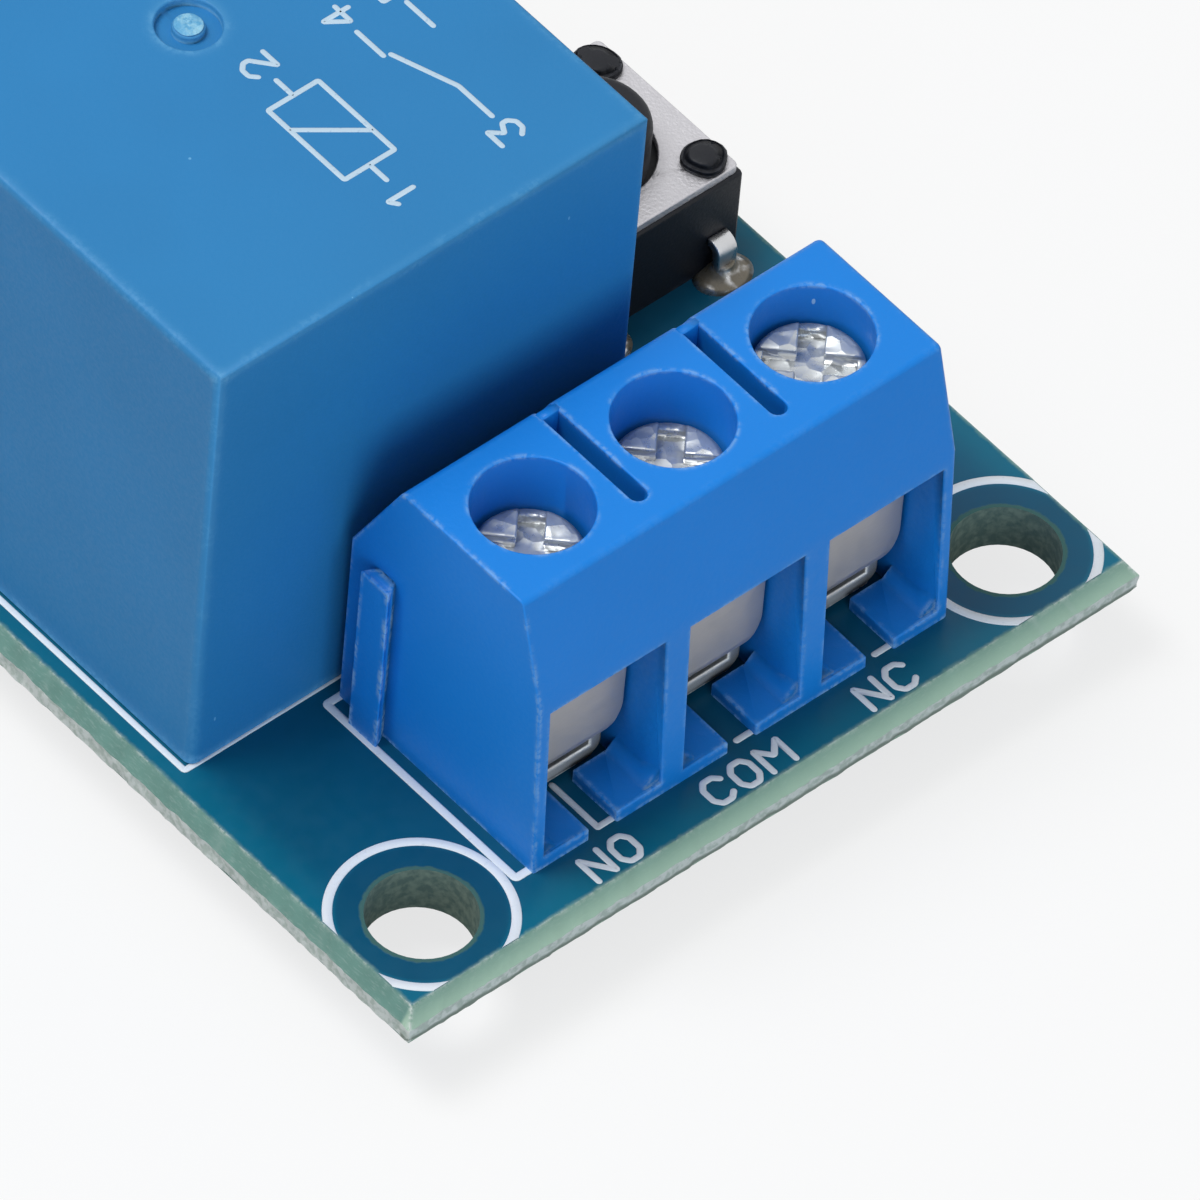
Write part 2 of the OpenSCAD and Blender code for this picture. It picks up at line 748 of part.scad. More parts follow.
// Head with a cross of two slots, shallower at their ends, and a plain shank in place of the thread
module terminal_screw(n) {
    slot_depth = min(cross_slot_depth, head_top - head_z - gap);
    end_depth = min(cross_end_depth, slot_depth);
    color(zinc) translate([pole_x(n), axis_y, n == poles ? last_screw_out : 0]) difference() {
        rotate_extrude() polygon([
            [0, screw_tip], [screw_d / 2 - tip_edge, screw_tip], [screw_d / 2, screw_tip + tip_edge],
            [screw_d / 2, head_z], [screw_head_d / 2, head_z], [screw_head_d / 2, head_top - head_edge],
            [screw_head_d / 2 - head_edge, head_top], [0, head_top]
        ]);
        for (turn = [0, 90]) translate([0, 0, head_top]) rotate([0, 0, cross_turn + turn]) {
            cube([cross_slot_w, screw_head_d - 2 * cross_end, 2 * slot_depth], center = true);
            cube([cross_slot_w, screw_head_d + past, 2 * end_depth], center = true);
        }
    }
}

// Front view of a cage: a bent strip with round lower corners and a thick threaded top
module cage_outline() {
    round_z = cage_z + cage_corner_r;
    difference() {
        union() {
            translate([-cage_w / 2, round_z]) square([cage_w, cage_top - round_z]);
            translate([-cage_w / 2 + cage_corner_r, cage_z]) square([cage_w - 2 * cage_corner_r, past]);
            for (s = [-1, 1]) translate([s * (cage_w / 2 - cage_corner_r), round_z]) circle(cage_corner_r);
        }
        translate([-cage_in_w / 2, cage_floor]) square([cage_in_w, nut_z - cage_floor]);
    }
}

module clamp_cage(n) {
    color(zinc) translate([pole_x(n), 0, 0]) difference() {
        along_y(cage_front, cage_back) cage_outline();
        translate([0, axis_y, nut_z - slip]) cylinder(d = screw_d + 2 * slip, h = cage_nut_t + past);
    }
}

// Front view of a shield with round lower corners
module shield_outline() {
    round_z = bar_z + shield_corner_r;
    flat_w = shield_w - 2 * shield_corner_r;
    translate([-shield_w / 2, round_z]) square([shield_w, shield_top - round_z]);
    translate([-flat_w / 2, bar_z]) square([flat_w, shield_top - bar_z]);
    for (s = [-1, 1]) translate([s * flat_w / 2, round_z]) circle(shield_corner_r);
}

// Side view of the strip: a bar with its front end bent up into the shield
module bent_strip_outline() {
    bend_y = shield_front + bend_r;
    bend_z = bar_z + bend_r;
    translate([shield_front, bend_z]) square([shield_t, shield_top - bend_z]);
    translate([bend_y, bar_z]) square([bar_pin_back - bend_y, bar_t]);
    intersection() {
        translate([bend_y, bend_z]) difference() {
            circle(bend_r);
            circle(bend_r - shield_t);
        }
        translate([shield_front, bar_z]) square(bend_r);
    }
}

module terminal_contact(n) {
    color(tin) translate([pole_x(n), 0, 0]) {
        intersection() {
            across_x(shield_w) bent_strip_outline();
            along_y(shield_front, shield_front + bend_r) shield_outline();
        }
        intersection() {
            across_x(bar_w) bent_strip_outline();
            span([-bar_w / 2, shield_front, bar_z], [bar_w / 2, bar_pin_back, shield_top]);
        }
        span([-bar_pin_w / 2, bar_pin_front, lead_z], [bar_pin_w / 2, bar_pin_back, bar_top]);
    }
}

module button_base() {
    color(black_plastic) at_button() {
        difference() {
            span([-button_w / 2, -button_w / 2, board_t], [button_w / 2, button_w / 2, button_top]);
            translate([0, 0, button_floor]) cylinder(d = well_button_d, h = button_h);
        }
        for (sx = [-1, 1], sy = [-1, 1]) translate([sx * stake_x, sy * stake_x, button_top]) {
            translate([0, 0, -slip]) cylinder(d = stake_d, h = button_plate_t + 2 * slip);
            translate([0, 0, button_plate_t]) turned(stake_head_d, stake_head_h, stake_edge);
        }
    }
}

module button_plate() {
    side = button_w - 2 * near;
    color(zinc) at_button() translate([0, 0, button_top]) linear_extrude(button_plate_t) difference() {
        rounded_rect(side, side, gap);
        circle(d = plunger_hole_d);
        for (sx = [-1, 1], sy = [-1, 1]) translate([sx * stake_x, sy * stake_x])
            circle(d = stake_d + 2 * lead_fit);
    }
}

module button_plunger() {
    flange_top = button_top - slip;
    flange_z = flange_top - plunger_flange_t;
    color(black_plastic) at_button() {
        translate([0, 0, flange_z]) turned(plunger_d, plunger_top - flange_z, plunger_edge);
        translate([0, 0, flange_z]) cylinder(d = flange_d, h = plunger_flange_t);
        translate([0, 0, plunger_foot]) cylinder(d = plunger_d / 2, h = flange_top - plunger_foot);
    }
}

// A shallow snap dome: a ball cap of constant thickness
module button_dome() {
    ball_r = (dome_d * dome_d / 4 + dome_h * dome_h) / (2 * dome_h);
    color(zinc) at_button() translate([0, 0, dome_seat]) intersection() {
        translate([0, 0, dome_h - ball_r]) difference() {
            sphere(ball_r);
            sphere(ball_r - dome_t);
        }
        cylinder(d = dome_d + past, h = dome_h + past);
    }
}

// Side view of a leg: out of the body, round a bend and down through the board
module leg_outline() {
    out_y = -leg_y - leg_t / 2;
    bend_y = out_y + leg_bend_r;
    bend_z = leg_top - leg_bend_r;
    translate([out_y, lead_z]) square([leg_t, bend_z - lead_z]);
    translate([bend_y, leg_top - leg_t]) square([-button_w / 2 - bend_y, leg_t]);
    intersection() {
        translate([bend_y, bend_z]) difference() {
            circle(leg_bend_r);
            circle(leg_bend_r - leg_t);
        }
        translate([out_y, bend_z]) square(leg_bend_r);
    }
}

module button_legs() {
    color(tin) at_button() for (sx = [-1, 1], turn = [0, 180]) rotate([0, 0, turn])
        translate([sx * leg_pitch / 2, 0, 0]) across_x(leg_w) leg_outline();
}

module header_body() {
    color(black_plastic) difference() {
        for (n = [1 : header_pins_n]) translate([header_x(n), header_y, board_t])
            linear_extrude(header_h) intersection() {
                square(header_pitch, center = true);
                rotate(45) square((header_pitch - header_cut) * sqrt(2), center = true);
            }
        for (n = [1 : header_pins_n]) translate([header_x(n), header_y, board_t])
            cube([header_pin_w + lead_fit, header_pin_w + lead_fit, 3 * header_h], center = true);
    }
}

// Side view of a header pin with a tapered tip
module pin_outline(pin_top) {
    half = header_pin_w / 2;
    polygon([
        [-half, lead_z], [half, lead_z], [half, pin_top - 2 * half],
        [half / 2, pin_top], [-half / 2, pin_top], [-half, pin_top - 2 * half]
    ]);
}

module header_pins() {
    pin_top = board_t + header_h + header_pin_out;
    color(brass) for (n = [1 : header_pins_n]) translate([header_x(n), header_y, 0]) intersection() {
        across_x(header_pin_w) pin_outline(pin_top);
        along_y(-header_pin_w / 2, header_pin_w / 2) pin_outline(pin_top);
    }
}

// Side view of a gull-wing lead that leaves a body at the origin towards +X
module gull_outline(body_h, lift, reach, t) {
    knee = reach / 2 - t / 2;
    mid = lift + body_h / 2;
    polygon([
        [0, mid - t / 2], [knee - t, mid - t / 2], [knee, 0], [reach, 0],
        [reach, t], [knee + t, t], [knee, mid + t / 2], [0, mid + t / 2]
    ]);
}

module gull_lead(body_h, lift, reach, w, t) {
    rotate([90, 0, 0]) linear_extrude(w, center = true) gull_outline(body_h, lift, reach, t);
}

// A moulded chip body, drafted to a middle parting line
module moulded_body(l, w, h, draft) {
    intersection() {
        rotate([90, 0, 0]) linear_extrude(w, center = true)
            polygon([[-l / 2 + draft, 0], [l / 2 - draft, 0], [l / 2, h / 2], [l / 2 - draft, h],
                [-l / 2 + draft, h], [-l / 2, h / 2]]);
        rotate([90, 0, 90]) linear_extrude(l, center = true)
            polygon([[-w / 2 + draft, 0], [w / 2 - draft, 0], [w / 2, h / 2], [w / 2 - draft, h],
                [-w / 2 + draft, h], [-w / 2, h / 2]]);
    }
}

module at_chip() translate([chip_x, chip_y, board_t]) children();

module latch_chip() {
    draft = chip_h / 10;
    pin_mark_d = 0.8;
    color(black_plastic) at_chip() translate([0, 0, chip_gap]) difference() {
        moulded_body(chip_l, chip_w, chip_h, draft);
        translate([-chip_l / 2 + pin_mark_d, -chip_w / 2 + pin_mark_d, chip_h - near])
            cylinder(d = pin_mark_d, h = past);
    }
}

module latch_chip_leads() {
    color(tin) at_chip() for (turn = [0, 180], k = [-1.5 : 1 : 1.5])
        rotate([0, 0, 90 + turn]) translate([chip_w / 2, k * chip_pitch, 0])
            gull_lead(chip_h, chip_gap, chip_reach, chip_lead_w, chip_lead_t);
}

module at_transistor() translate([transistor_x, transistor_y, board_t]) children();

module driver_transistor() {
    color(black_plastic) at_transistor() translate([0, 0, near])
        moulded_body(transistor_l, transistor_w, transistor_h, near);
}

module driver_transistor_leads() {
    lead_w = 0.4;
    lead_t = 0.15;
    color(tin) at_transistor() {
        for (s = [-1, 1]) rotate([0, 0, -90]) translate([transistor_w / 2, s * transistor_pitch, 0])
            gull_lead(transistor_h, near, transistor_reach, lead_w, lead_t);
        rotate([0, 0, 90]) translate([transistor_w / 2, 0, 0])
            gull_lead(transistor_h, near, transistor_reach, lead_w, lead_t);
    }
}

module at_diode() translate([diode_x, diode_y, board_t]) children();

module flyback_diode() {
    draft = diode_h / 10;
    color(black_plastic) at_diode() translate([0, 0, diode_lift + diode_tab_t])
        moulded_body(diode_w, diode_l, diode_h - diode_lift - diode_tab_t, draft);
}

// Flat tabs that leave the ends of the body and fold under it
module flyback_diode_tabs() {
    body_h = diode_h - diode_lift - diode_tab_t;
    mid = diode_lift + diode_tab_t + body_h / 2;
    end = diode_l / 2;
    fold = diode_l / 4;
    color(tin) at_diode() for (turn = [0, 180]) rotate([0, 0, turn]) {
        span([-diode_tab_w / 2, end, 0], [diode_tab_w / 2, end + diode_tab_t, mid + diode_tab_t / 2]);
        span([-diode_tab_w / 2, end - fold, 0], [diode_tab_w / 2, end + diode_tab_t, diode_tab_t]);
    }
}

module chip_resistors() {
    color(black_plastic) for (x = resistor_x) translate([x, resistor_y, board_t]) rotate([0, 0, 90])
        span([-cap_in, -resistor_w / 2, 0], [cap_in, resistor_w / 2, resistor_h]);
}

module chip_end_caps() {
    color(tin) for (x = resistor_x, turn = [90, 270]) translate([x, resistor_y, board_t]) rotate([0, 0, turn])
        span([cap_in, -resistor_w / 2, 0], [resistor_l / 2, resistor_w / 2, resistor_h + lead_fit]);
}

module at_led() translate([led_x, led_y, board_t]) rotate([0, 0, 90]) children();

module status_led_base() {
    color("white") at_led()
        span([-resistor_l / 2, -resistor_w / 2, 0], [resistor_l / 2, resistor_w / 2, led_base_h]);
}

module status_led() {
    color([0.95, 0.5, 0.4]) at_led() translate([0, 0, led_base_h])
        moulded_body(2 * cap_in, resistor_w, led_h - led_base_h, slip);
}

circuit_board();
solder_joints();
relay_cover();
relay_base();
coil_bobbin();
coil_winding();
coil_core();
coil_pins();
relay_yoke();
relay_armature();
contact_spring();
moving_contact();
closed_contact();
open_contact();
common_pin();
terminal_housing();
terminal_screw(1);  // terminal_screw_1
terminal_screw(2);  // terminal_screw_2
terminal_screw(3);  // terminal_screw_3
clamp_cage(1);  // clamp_cage_1
clamp_cage(2);  // clamp_cage_2
clamp_cage(3);  // clamp_cage_3
terminal_contact(1);  // terminal_contact_1
terminal_contact(2);  // terminal_contact_2
terminal_contact(3);  // terminal_contact_3
button_base();
button_plate();
button_plunger();
button_dome();
button_legs();
header_body();
header_pins();
latch_chip();
latch_chip_leads();
driver_transistor();
driver_transistor_leads();
flyback_diode();
flyback_diode_tabs();
chip_resistors();
chip_end_caps();
status_led();
status_led_base();
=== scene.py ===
"""Looks of a one-channel relay module: softened edges, finishes, printing, solder and the stage."""

import json
import math

import bmesh
import bpy
from mathutils import Matrix, Quaternion, Vector, noise

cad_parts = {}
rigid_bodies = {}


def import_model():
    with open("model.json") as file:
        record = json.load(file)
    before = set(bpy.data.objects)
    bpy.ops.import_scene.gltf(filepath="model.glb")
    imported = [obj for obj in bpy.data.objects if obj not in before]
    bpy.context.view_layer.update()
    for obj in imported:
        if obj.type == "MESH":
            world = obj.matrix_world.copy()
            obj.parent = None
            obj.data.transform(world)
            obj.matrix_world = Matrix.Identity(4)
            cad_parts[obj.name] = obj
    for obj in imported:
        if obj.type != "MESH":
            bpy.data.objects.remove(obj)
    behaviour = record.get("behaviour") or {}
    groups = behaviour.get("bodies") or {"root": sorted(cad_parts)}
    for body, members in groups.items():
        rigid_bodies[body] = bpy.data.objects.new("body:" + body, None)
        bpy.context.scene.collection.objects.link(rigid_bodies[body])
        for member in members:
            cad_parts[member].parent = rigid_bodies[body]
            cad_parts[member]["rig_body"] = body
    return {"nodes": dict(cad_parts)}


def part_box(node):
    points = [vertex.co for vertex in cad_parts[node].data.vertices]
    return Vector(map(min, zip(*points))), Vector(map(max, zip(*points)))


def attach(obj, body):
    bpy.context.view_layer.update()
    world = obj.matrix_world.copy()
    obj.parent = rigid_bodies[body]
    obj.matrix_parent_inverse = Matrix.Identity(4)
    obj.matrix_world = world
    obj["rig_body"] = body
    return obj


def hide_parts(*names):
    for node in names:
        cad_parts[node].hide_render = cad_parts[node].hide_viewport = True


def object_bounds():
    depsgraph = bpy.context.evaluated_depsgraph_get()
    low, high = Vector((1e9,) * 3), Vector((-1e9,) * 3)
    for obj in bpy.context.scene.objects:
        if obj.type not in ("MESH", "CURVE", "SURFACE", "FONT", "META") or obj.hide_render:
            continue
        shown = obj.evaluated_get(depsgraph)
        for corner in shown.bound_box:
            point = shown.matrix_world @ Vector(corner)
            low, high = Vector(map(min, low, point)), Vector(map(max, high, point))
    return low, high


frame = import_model()
cad_box = [list(corner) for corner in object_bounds()]

bl_info = {
    "name": "Relay module",
    "version": (1, 0, 0),
    "blender": (4, 5, 0),
    "location": "View3D > Sidebar > Relay module",
    "description": "Finishes, printing, solder and stage for a one-channel relay module",
    "category": "Object",
}

MM = 0.001
TINY = 0.01 * MM
ROOT = "module"
POLES = (1, 2, 3)
HALF_W, HALF_L, BOARD_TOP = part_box("circuit_board")[1]
SCORE_IN = 0.35 * MM
SCORE_DEPTH = 0.55 * MM
FLAT_X = HALF_W - SCORE_IN
FLAT_Y = HALF_L - SCORE_IN
HOLE_X = 10.7 * MM
HOLE_Y = 22.75 * MM
HOLE_R = 1.6 * MM
VENT_BACK = 0.9 * MM
STUB_R = 0.42 * MM
SLOT_W = 0.55 * MM
SLOT_DEPTH = 1.4 * MM
SLOT_WEB = 0.35 * MM
FRONT_LINE = -23.36
BACK_LINE = -15.4
LABEL_LINE = -24.85
DRAWN_UP = (3.0, 3.0, 0.4)
TERMINAL_SKIN = {"rough": 0.4, "grain": 0.16, "depth": 0.008}
CAMERA_PLACE = (-0.31854, -0.33468, 0.51848)
CAMERA_AIM = (0.0016, -0.0162, 0)
KEY_PLACE = (-0.14, 0.12, 0.42)
FILL_PLACE = (-0.18, -0.43, 0.14)
LAMP_AIM = (0, -0.01, 0)


def paint(red, green, blue):
    """Linear colour of three screen values from 0 to 255."""
    shares = [value / 255 for value in (red, green, blue)]
    return tuple(s / 12.92 if s <= 0.04045 else ((s + 0.055) / 1.055) ** 2.4 for s in shares)


def colour_prop(what, *default):
    """A colour given by three screen values."""
    return bpy.props.FloatVectorProperty(
        name=what.capitalize(), description=f"Colour of the {what}", default=paint(*default),
        subtype="COLOR", size=3, min=0, max=1
    )


def length_prop(measure, what, default_mm):
    """A length given in millimetres."""
    return bpy.props.FloatProperty(
        name=what.capitalize(), description=f"{measure} of the {what}", default=default_mm * MM,
        unit="LENGTH", subtype="DISTANCE", min=0, precision=6
    )


class ModuleColours(bpy.types.PropertyGroup):
    """Colours of the finishes."""

    relay: colour_prop("relay case", 44, 132, 193)
    # Pale colour of the relay case's edges: partly wear, partly a painted highlight along the edges.
    relay_edge_wear_and_sheen: colour_prop("worn edges of the relay case and their painted highlight", 104, 174, 222)
    terminal: colour_prop("terminal moulding", 24, 138, 234)
    stressed: colour_prop("worn edges of the terminal", 150, 195, 240)
    mask: colour_prop("solder mask over copper", 8, 88, 118)
    mask_edge: colour_prop("solder mask over bare laminate", 10, 106, 133)
    mask_ring: colour_prop("solder mask round the holes", 8, 76, 106)
    laminate: colour_prop("bare laminate", 112, 152, 142)
    whitened: colour_prop("laminate at the snapped ends", 178, 208, 186)
    drilled: colour_prop("laminate round the holes", 64, 104, 100)
    fibre: colour_prop("broken glass fibre", 224, 230, 226)
    silk: colour_prop("printing on the board", 236, 241, 246)
    pad_print: colour_prop("printing on the relay case", 196, 220, 238)
    black: colour_prop("black plastic", 22, 25, 32)
    black_edge: colour_prop("worn edges of black plastic", 96, 98, 106)


class ModuleEdges(bpy.types.PropertyGroup):
    """Radii of the softened edges."""

    terminal: length_prop("Radius", "terminal's outer edges", 0.17)
    terminal_inner: length_prop("Radius", "edges of wells, slots and mouths", 0.065)
    case: length_prop("Radius", "vent's edges on the relay case", 0.07)
    button: length_prop("Radius", "button's edges", 0.12)
    metal: length_prop("Radius", "edges of sheet metal", 0.05)
    cage: length_prop("Radius", "edges of the clamp cages", 0.1)
    screw: length_prop("Radius", "edges of the screw heads", 0.06)
    chip: length_prop("Radius", "edges of chips and pins", 0.04)
    snap: length_prop("Roughness", "board's snapped edge", 0.07)


class ModulePrint(bpy.types.PropertyGroup):
    """Sizes of the printed lines."""

    height: length_prop("Height", "ink over the board", 0.02)
    line: length_prop("Width", "outlines on the board", 0.27)
    fine_line: length_prop("Width", "outlines that parts half cover", 0.21)
    stroke: length_prop("Width", "strokes of the letters", 0.2)
    letter: length_prop("Height", "letters between stroke centres", 0.9)
    ring: length_prop("Radius", "rings round the mounting holes", 2.6)
    ring_line: length_prop("Width", "ring lines round the mounting holes", 0.33)
    case_line: length_prop("Width", "lines printed on the relay case", 0.17)


class ModuleStage(bpy.types.PropertyGroup):
    """Camera, lamps and floor."""

    lens: bpy.props.FloatProperty(
        name="Lens", description="Focal length of the camera", default=743.9, unit="CAMERA", min=1
    )
    roll: bpy.props.FloatProperty(
        name="Roll", description="Turn of the camera about its own axis", default=math.radians(5.44),
        subtype="ANGLE", unit="ROTATION"
    )
    key: bpy.props.FloatProperty(
        name="Key lamp", description="Power of the main lamp", default=1.18, unit="POWER"
    )
    fill: bpy.props.FloatProperty(
        name="Fill lamp", description="Power of the front lamp", default=0.74, unit="POWER"
    )
    sky: bpy.props.FloatProperty(name="Sky", description="Strength of the light from all round", default=0.35)
    cool: colour_prop("front lamp", 218, 241, 255)
    floor: colour_prop("floor", 248, 248, 248)
    bounce: colour_prop("light that the floor throws back", 160, 160, 160)


class Net:
    """A shader node tree with short calls for its nodes and links."""

    def __init__(self, tree):
        self.tree = tree

    def add(self, kind, inputs=None, **settings):
        node = self.tree.nodes.new("ShaderNode" + kind)
        for name, value in settings.items():
            setattr(node, name, value)
        for key, value in (inputs or {}).items():
            self.put(node.inputs[key], value)
        return node

    def put(self, socket, value):
        if isinstance(value, bpy.types.NodeSocket):
            self.tree.links.new(value, socket)
        elif socket.type == "RGBA":
            socket.default_value = (*value[:3], 1)
        else:
            socket.default_value = value

    def math(self, operation, a, b=0.0, clamp=False):
        return self.add("Math", {0: a, 1: b}, operation=operation, use_clamp=clamp).outputs[0]

    def times(self, a, b, clamp=False):
        return self.math("MULTIPLY", a, b, clamp)

    def plus(self, a, b, clamp=False):
        return self.math("ADD", a, b, clamp)

    def less(self, a, b, clamp=False):
        return self.math("SUBTRACT", a, b, clamp)

    def step(self, value, low, high, start=0.0, end=1.0):
        """start below low, end above high, with a smooth change between them."""
        places = {"Value": value, "From Min": low, "From Max": high, "To Min": start, "To Max": end}
        return self.add("MapRange", places, interpolation_type="SMOOTHSTEP").outputs[0]

    def mix(self, share, a, b):
        return self.add("Mix", {0: share, 6: a, 7: b}, data_type="RGBA").outputs[2]

    def place(self, output="Object"):
        return self.add("TexCoord").outputs[output]

    def spread(self, stretch):
        """Object coordinates stretched along the axes."""
        return self.add("Mapping", {"Vector": self.place(), "Scale": stretch}).outputs[0]

    def noise(self, size, detail=2.0, vector=None):
        """Soft noise from 0 to 1 with features of a size in metres, which may be a socket."""
        linked = isinstance(size, bpy.types.NodeSocket)
        scale = self.math("DIVIDE", 1.0, size) if linked else 1 / size
        places = {"Vector": vector or self.place(), "Scale": scale, "Detail": detail}
        return self.add("TexNoise", places).outputs[0]

    def use(self, group, **values):
        """A shared effect placed with its own values, whose first output is taken."""
        node = self.add("Group", node_tree=group)
        for name, value in values.items():
            self.put(node.inputs[name.capitalize()], value)
        return node.outputs[0]


def shared_effect(name, inputs, output):
    """A node group with value inputs and one value output, and what is needed to fill a new one."""
    group = bpy.data.node_groups.get(name)
    if group:
        return group, None, None, None
    group = bpy.data.node_groups.new(name, "ShaderNodeTree")
    for label, default in inputs.items():
        socket = group.interface.new_socket(label, in_out="INPUT", socket_type="NodeSocketFloat")
        socket.default_value = default
    group.interface.new_socket(output, in_out="OUTPUT", socket_type="NodeSocketFloat")
    source = group.nodes.new("NodeGroupInput")
    sink = group.nodes.new("NodeGroupOutput")
    return group, Net(group), source.outputs, sink.inputs[0]


def fine_grain():
    """Height of a fine moulded or etched grain."""
    group, net, given, result = shared_effect("fine grain", {"Size": 0.0002}, "Height")
    if net:
        net.put(result, net.noise(given["Size"], 3.0))
    return group


def edge_wear_and_highlight():
    """Mask of outward edges, broken up in patches as wear; the Even share stays unbroken as a painted
    highlight along the edges.
    """
    inputs = {"Reach": 0.0002, "Patch": 0.001, "Amount": 0.5, "Even": 0.0}
    group, net, given, result = shared_effect("edge wear and highlight", inputs, "Mask")
    if net:
        reach = {"Distance": given["Reach"]}
        inside = net.add("AmbientOcclusion", reach, samples=8, inside=True, only_local=True)
        edge = net.step(inside.outputs["AO"], 0.97, 0.55)
        patches = net.step(net.noise(given["Patch"], 4.0), 0.36, 0.62)
        nicks = net.step(net.noise(net.times(given["Patch"], 0.2)), 0.3, 0.58)
        worn = net.times(edge, net.math("MAXIMUM", net.times(patches, nicks), given["Even"]))
        net.put(result, net.times(worn, given["Amount"], clamp=True))
    return group


def stray_specks():
    """Mask of a few small bright specks and nicks."""
    group, net, given, result = shared_effect("stray specks", {"Size": 0.001, "Share": 0.06}, "Mask")
    if net:
        scale = net.math("DIVIDE", 1.0, given["Size"])
        cells = net.add("TexVoronoi", {"Vector": net.spread((1.0, 1.0, 0.45)), "Scale": scale})
        chance = net.add("SeparateColor", {"Color": cells.outputs["Color"]}).outputs
        picked = net.math("LESS_THAN", chance[0], given["Share"])
        near = net.math("LESS_THAN", cells.outputs["Distance"], net.times(chance[1], 0.05))
        net.put(result, net.times(picked, near))
    return group


def tone_drift():
    """Slow change of tone about 1."""
    group, net, given, result = shared_effect("tone drift", {"Size": 0.01, "Amount": 0.1}, "Tone")
    if net:
        swing = net.times(net.less(net.noise(given["Size"], 3.0), 0.5), given["Amount"])
        net.put(result, net.plus(swing, 1.0))
    return group


def painted_hollow_shade():
    """Painted shade: a tone that falls from 1 in the open to a low value deep in hollows, where shade falls.
    """
    group, net, given, result = shared_effect("painted hollow shade", {"Reach": 0.002, "Low": 0.5}, "Tone")
    if net:
        around = net.add("AmbientOcclusion", {"Distance": given["Reach"]}, samples=8)
        net.put(result, net.step(around.outputs["AO"], 0.15, 0.75, given["Low"], 1.0))
    return group


def new_finish(name):
    """An empty material, its tree and its shader's inputs."""
    finish = bpy.data.materials.new(name)
    finish.use_nodes = True
    finish.node_tree.nodes.clear()
    net = Net(finish.node_tree)
    shader = net.add("BsdfPrincipled")
    net.add("OutputMaterial", {"Surface": shader.outputs[0]})
    return finish, net, shader.inputs


def shaded(net, colour, size, amount, hollow=1.0, reach=2):
    """A colour with a slow drift of tone and, where hollow is below 1, painted shade deep in hollows, with
    sizes in mm.
    """
    tone = net.use(tone_drift(), size=size * MM, amount=amount)
    if hollow < 1:
        tone = net.times(tone, net.use(painted_hollow_shade(), reach=reach * MM, low=hollow))
    return net.add("HueSaturation", {"Value": tone, "Color": colour}).outputs[0]


def bump(net, height, depth, strength=1.0):
    return net.add("Bump", {"Height": height, "Distance": depth, "Strength": strength}).outputs[0]


def moulded(name, colour, worn, rough=0.45, grain=0.14, depth=0.006, reach=0.2, wear=0.5, specks=0.05,
            drift=0.16, hollow=1.0, even=0.0):
    """Moulded plastic: fine grain, slow drift of tone, pale edges and a few specks, with painted shade in
    hollows where hollow is below 1; where even is above 0 the pale edge band is also a painted highlight.
    Sizes in mm.
    """
    finish, net, shader = new_finish(name)
    base = shaded(net, colour, 6, drift, hollow, 3)
    mask = net.use(edge_wear_and_highlight(), reach=reach * MM, patch=0.7 * MM, amount=wear, even=even)
    base = net.mix(mask, base, worn)
    base = net.mix(net.use(stray_specks(), size=1.3 * MM, share=specks), base, worn)
    net.put(shader["Base Color"], base)
    shader["Specular IOR Level"].default_value = 0.3
    height = net.use(fine_grain(), size=grain * MM)
    net.put(shader["Roughness"], net.step(height, 0.2, 0.8, rough - 0.07, rough + 0.09))
    net.put(shader["Normal"], bump(net, height, depth * MM))
    return finish


def plated(name, colour, rough=0.3, stretch=(1.0, 1.0, 1.0), grain=0.12, depth=0.004, drift=0.25, wear=0.0,
           mottle=0.08, hollow=1.0, dents=0.0, metal=1.0):
    """Metal with a fine drawn or pressed grain, uneven gloss, pale edges and painted shade in hollows where
    hollow is below 1. Sizes in mm.
    """
    finish, net, shader = new_finish(name)
    shader["Metallic"].default_value = metal
    base = shaded(net, colour, 1.5, drift, hollow)
    if wear:
        pale = [min(1.0, value * 1.35) for value in colour]
        base = net.mix(net.use(edge_wear_and_highlight(), reach=0.1 * MM, patch=0.4 * MM, amount=wear), base, pale)
    net.put(shader["Base Color"], base)
    streaks = net.noise(grain * MM, 4.0, net.spread(stretch))
    patches = net.step(net.noise(0.6 * MM, 4.0), 0.3, 0.7, -mottle, mottle)
    gloss = net.plus(patches, net.step(streaks, 0.3, 0.7, -0.04, 0.05))
    net.put(shader["Roughness"], net.plus(gloss, rough, clamp=True))
    normal = bump(net, streaks, depth * MM)
    if dents:
        cells = net.add("TexVoronoi", {"Vector": net.place(), "Scale": 1 / (0.5 * MM)}).outputs["Distance"]
        normal = net.add("Bump", {"Height": cells, "Distance": dents * MM, "Normal": normal}).outputs[0]
    net.put(shader["Normal"], normal)
    return finish


def merged_copy(node):
    """The solid's triangles joined into whole flat faces."""
    bm = bmesh.new()
    bm.from_mesh(frame["nodes"][node].data)
    bmesh.ops.remove_doubles(bm, verts=bm.verts, dist=MM / 1000)
    bmesh.ops.dissolve_limit(
        bm, angle_limit=math.radians(1), verts=bm.verts, edges=bm.edges, use_dissolve_boundaries=False
    )
    return bm


def in_scene(name, data):
    """A new object in the scene."""
    made = bpy.data.objects.new(name, data)
    bpy.context.scene.collection.objects.link(made)
    return made


def filled_mesh(name, bm):
    mesh = bpy.data.meshes.new(name)
    bm.to_mesh(mesh)
    bm.free()
    return mesh


def new_piece(name, bm, body, finish):
    """A mesh object at the origin that rides on a body."""
    for face in bm.faces:
        face.smooth = True
    return place_piece(name, filled_mesh(name, bm), body, finish)


def place_piece(name, mesh, body, finish):
    mesh.materials.clear()
    mesh.materials.append(finish)
    piece = in_scene(name, mesh)
    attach(piece, body)
    return piece


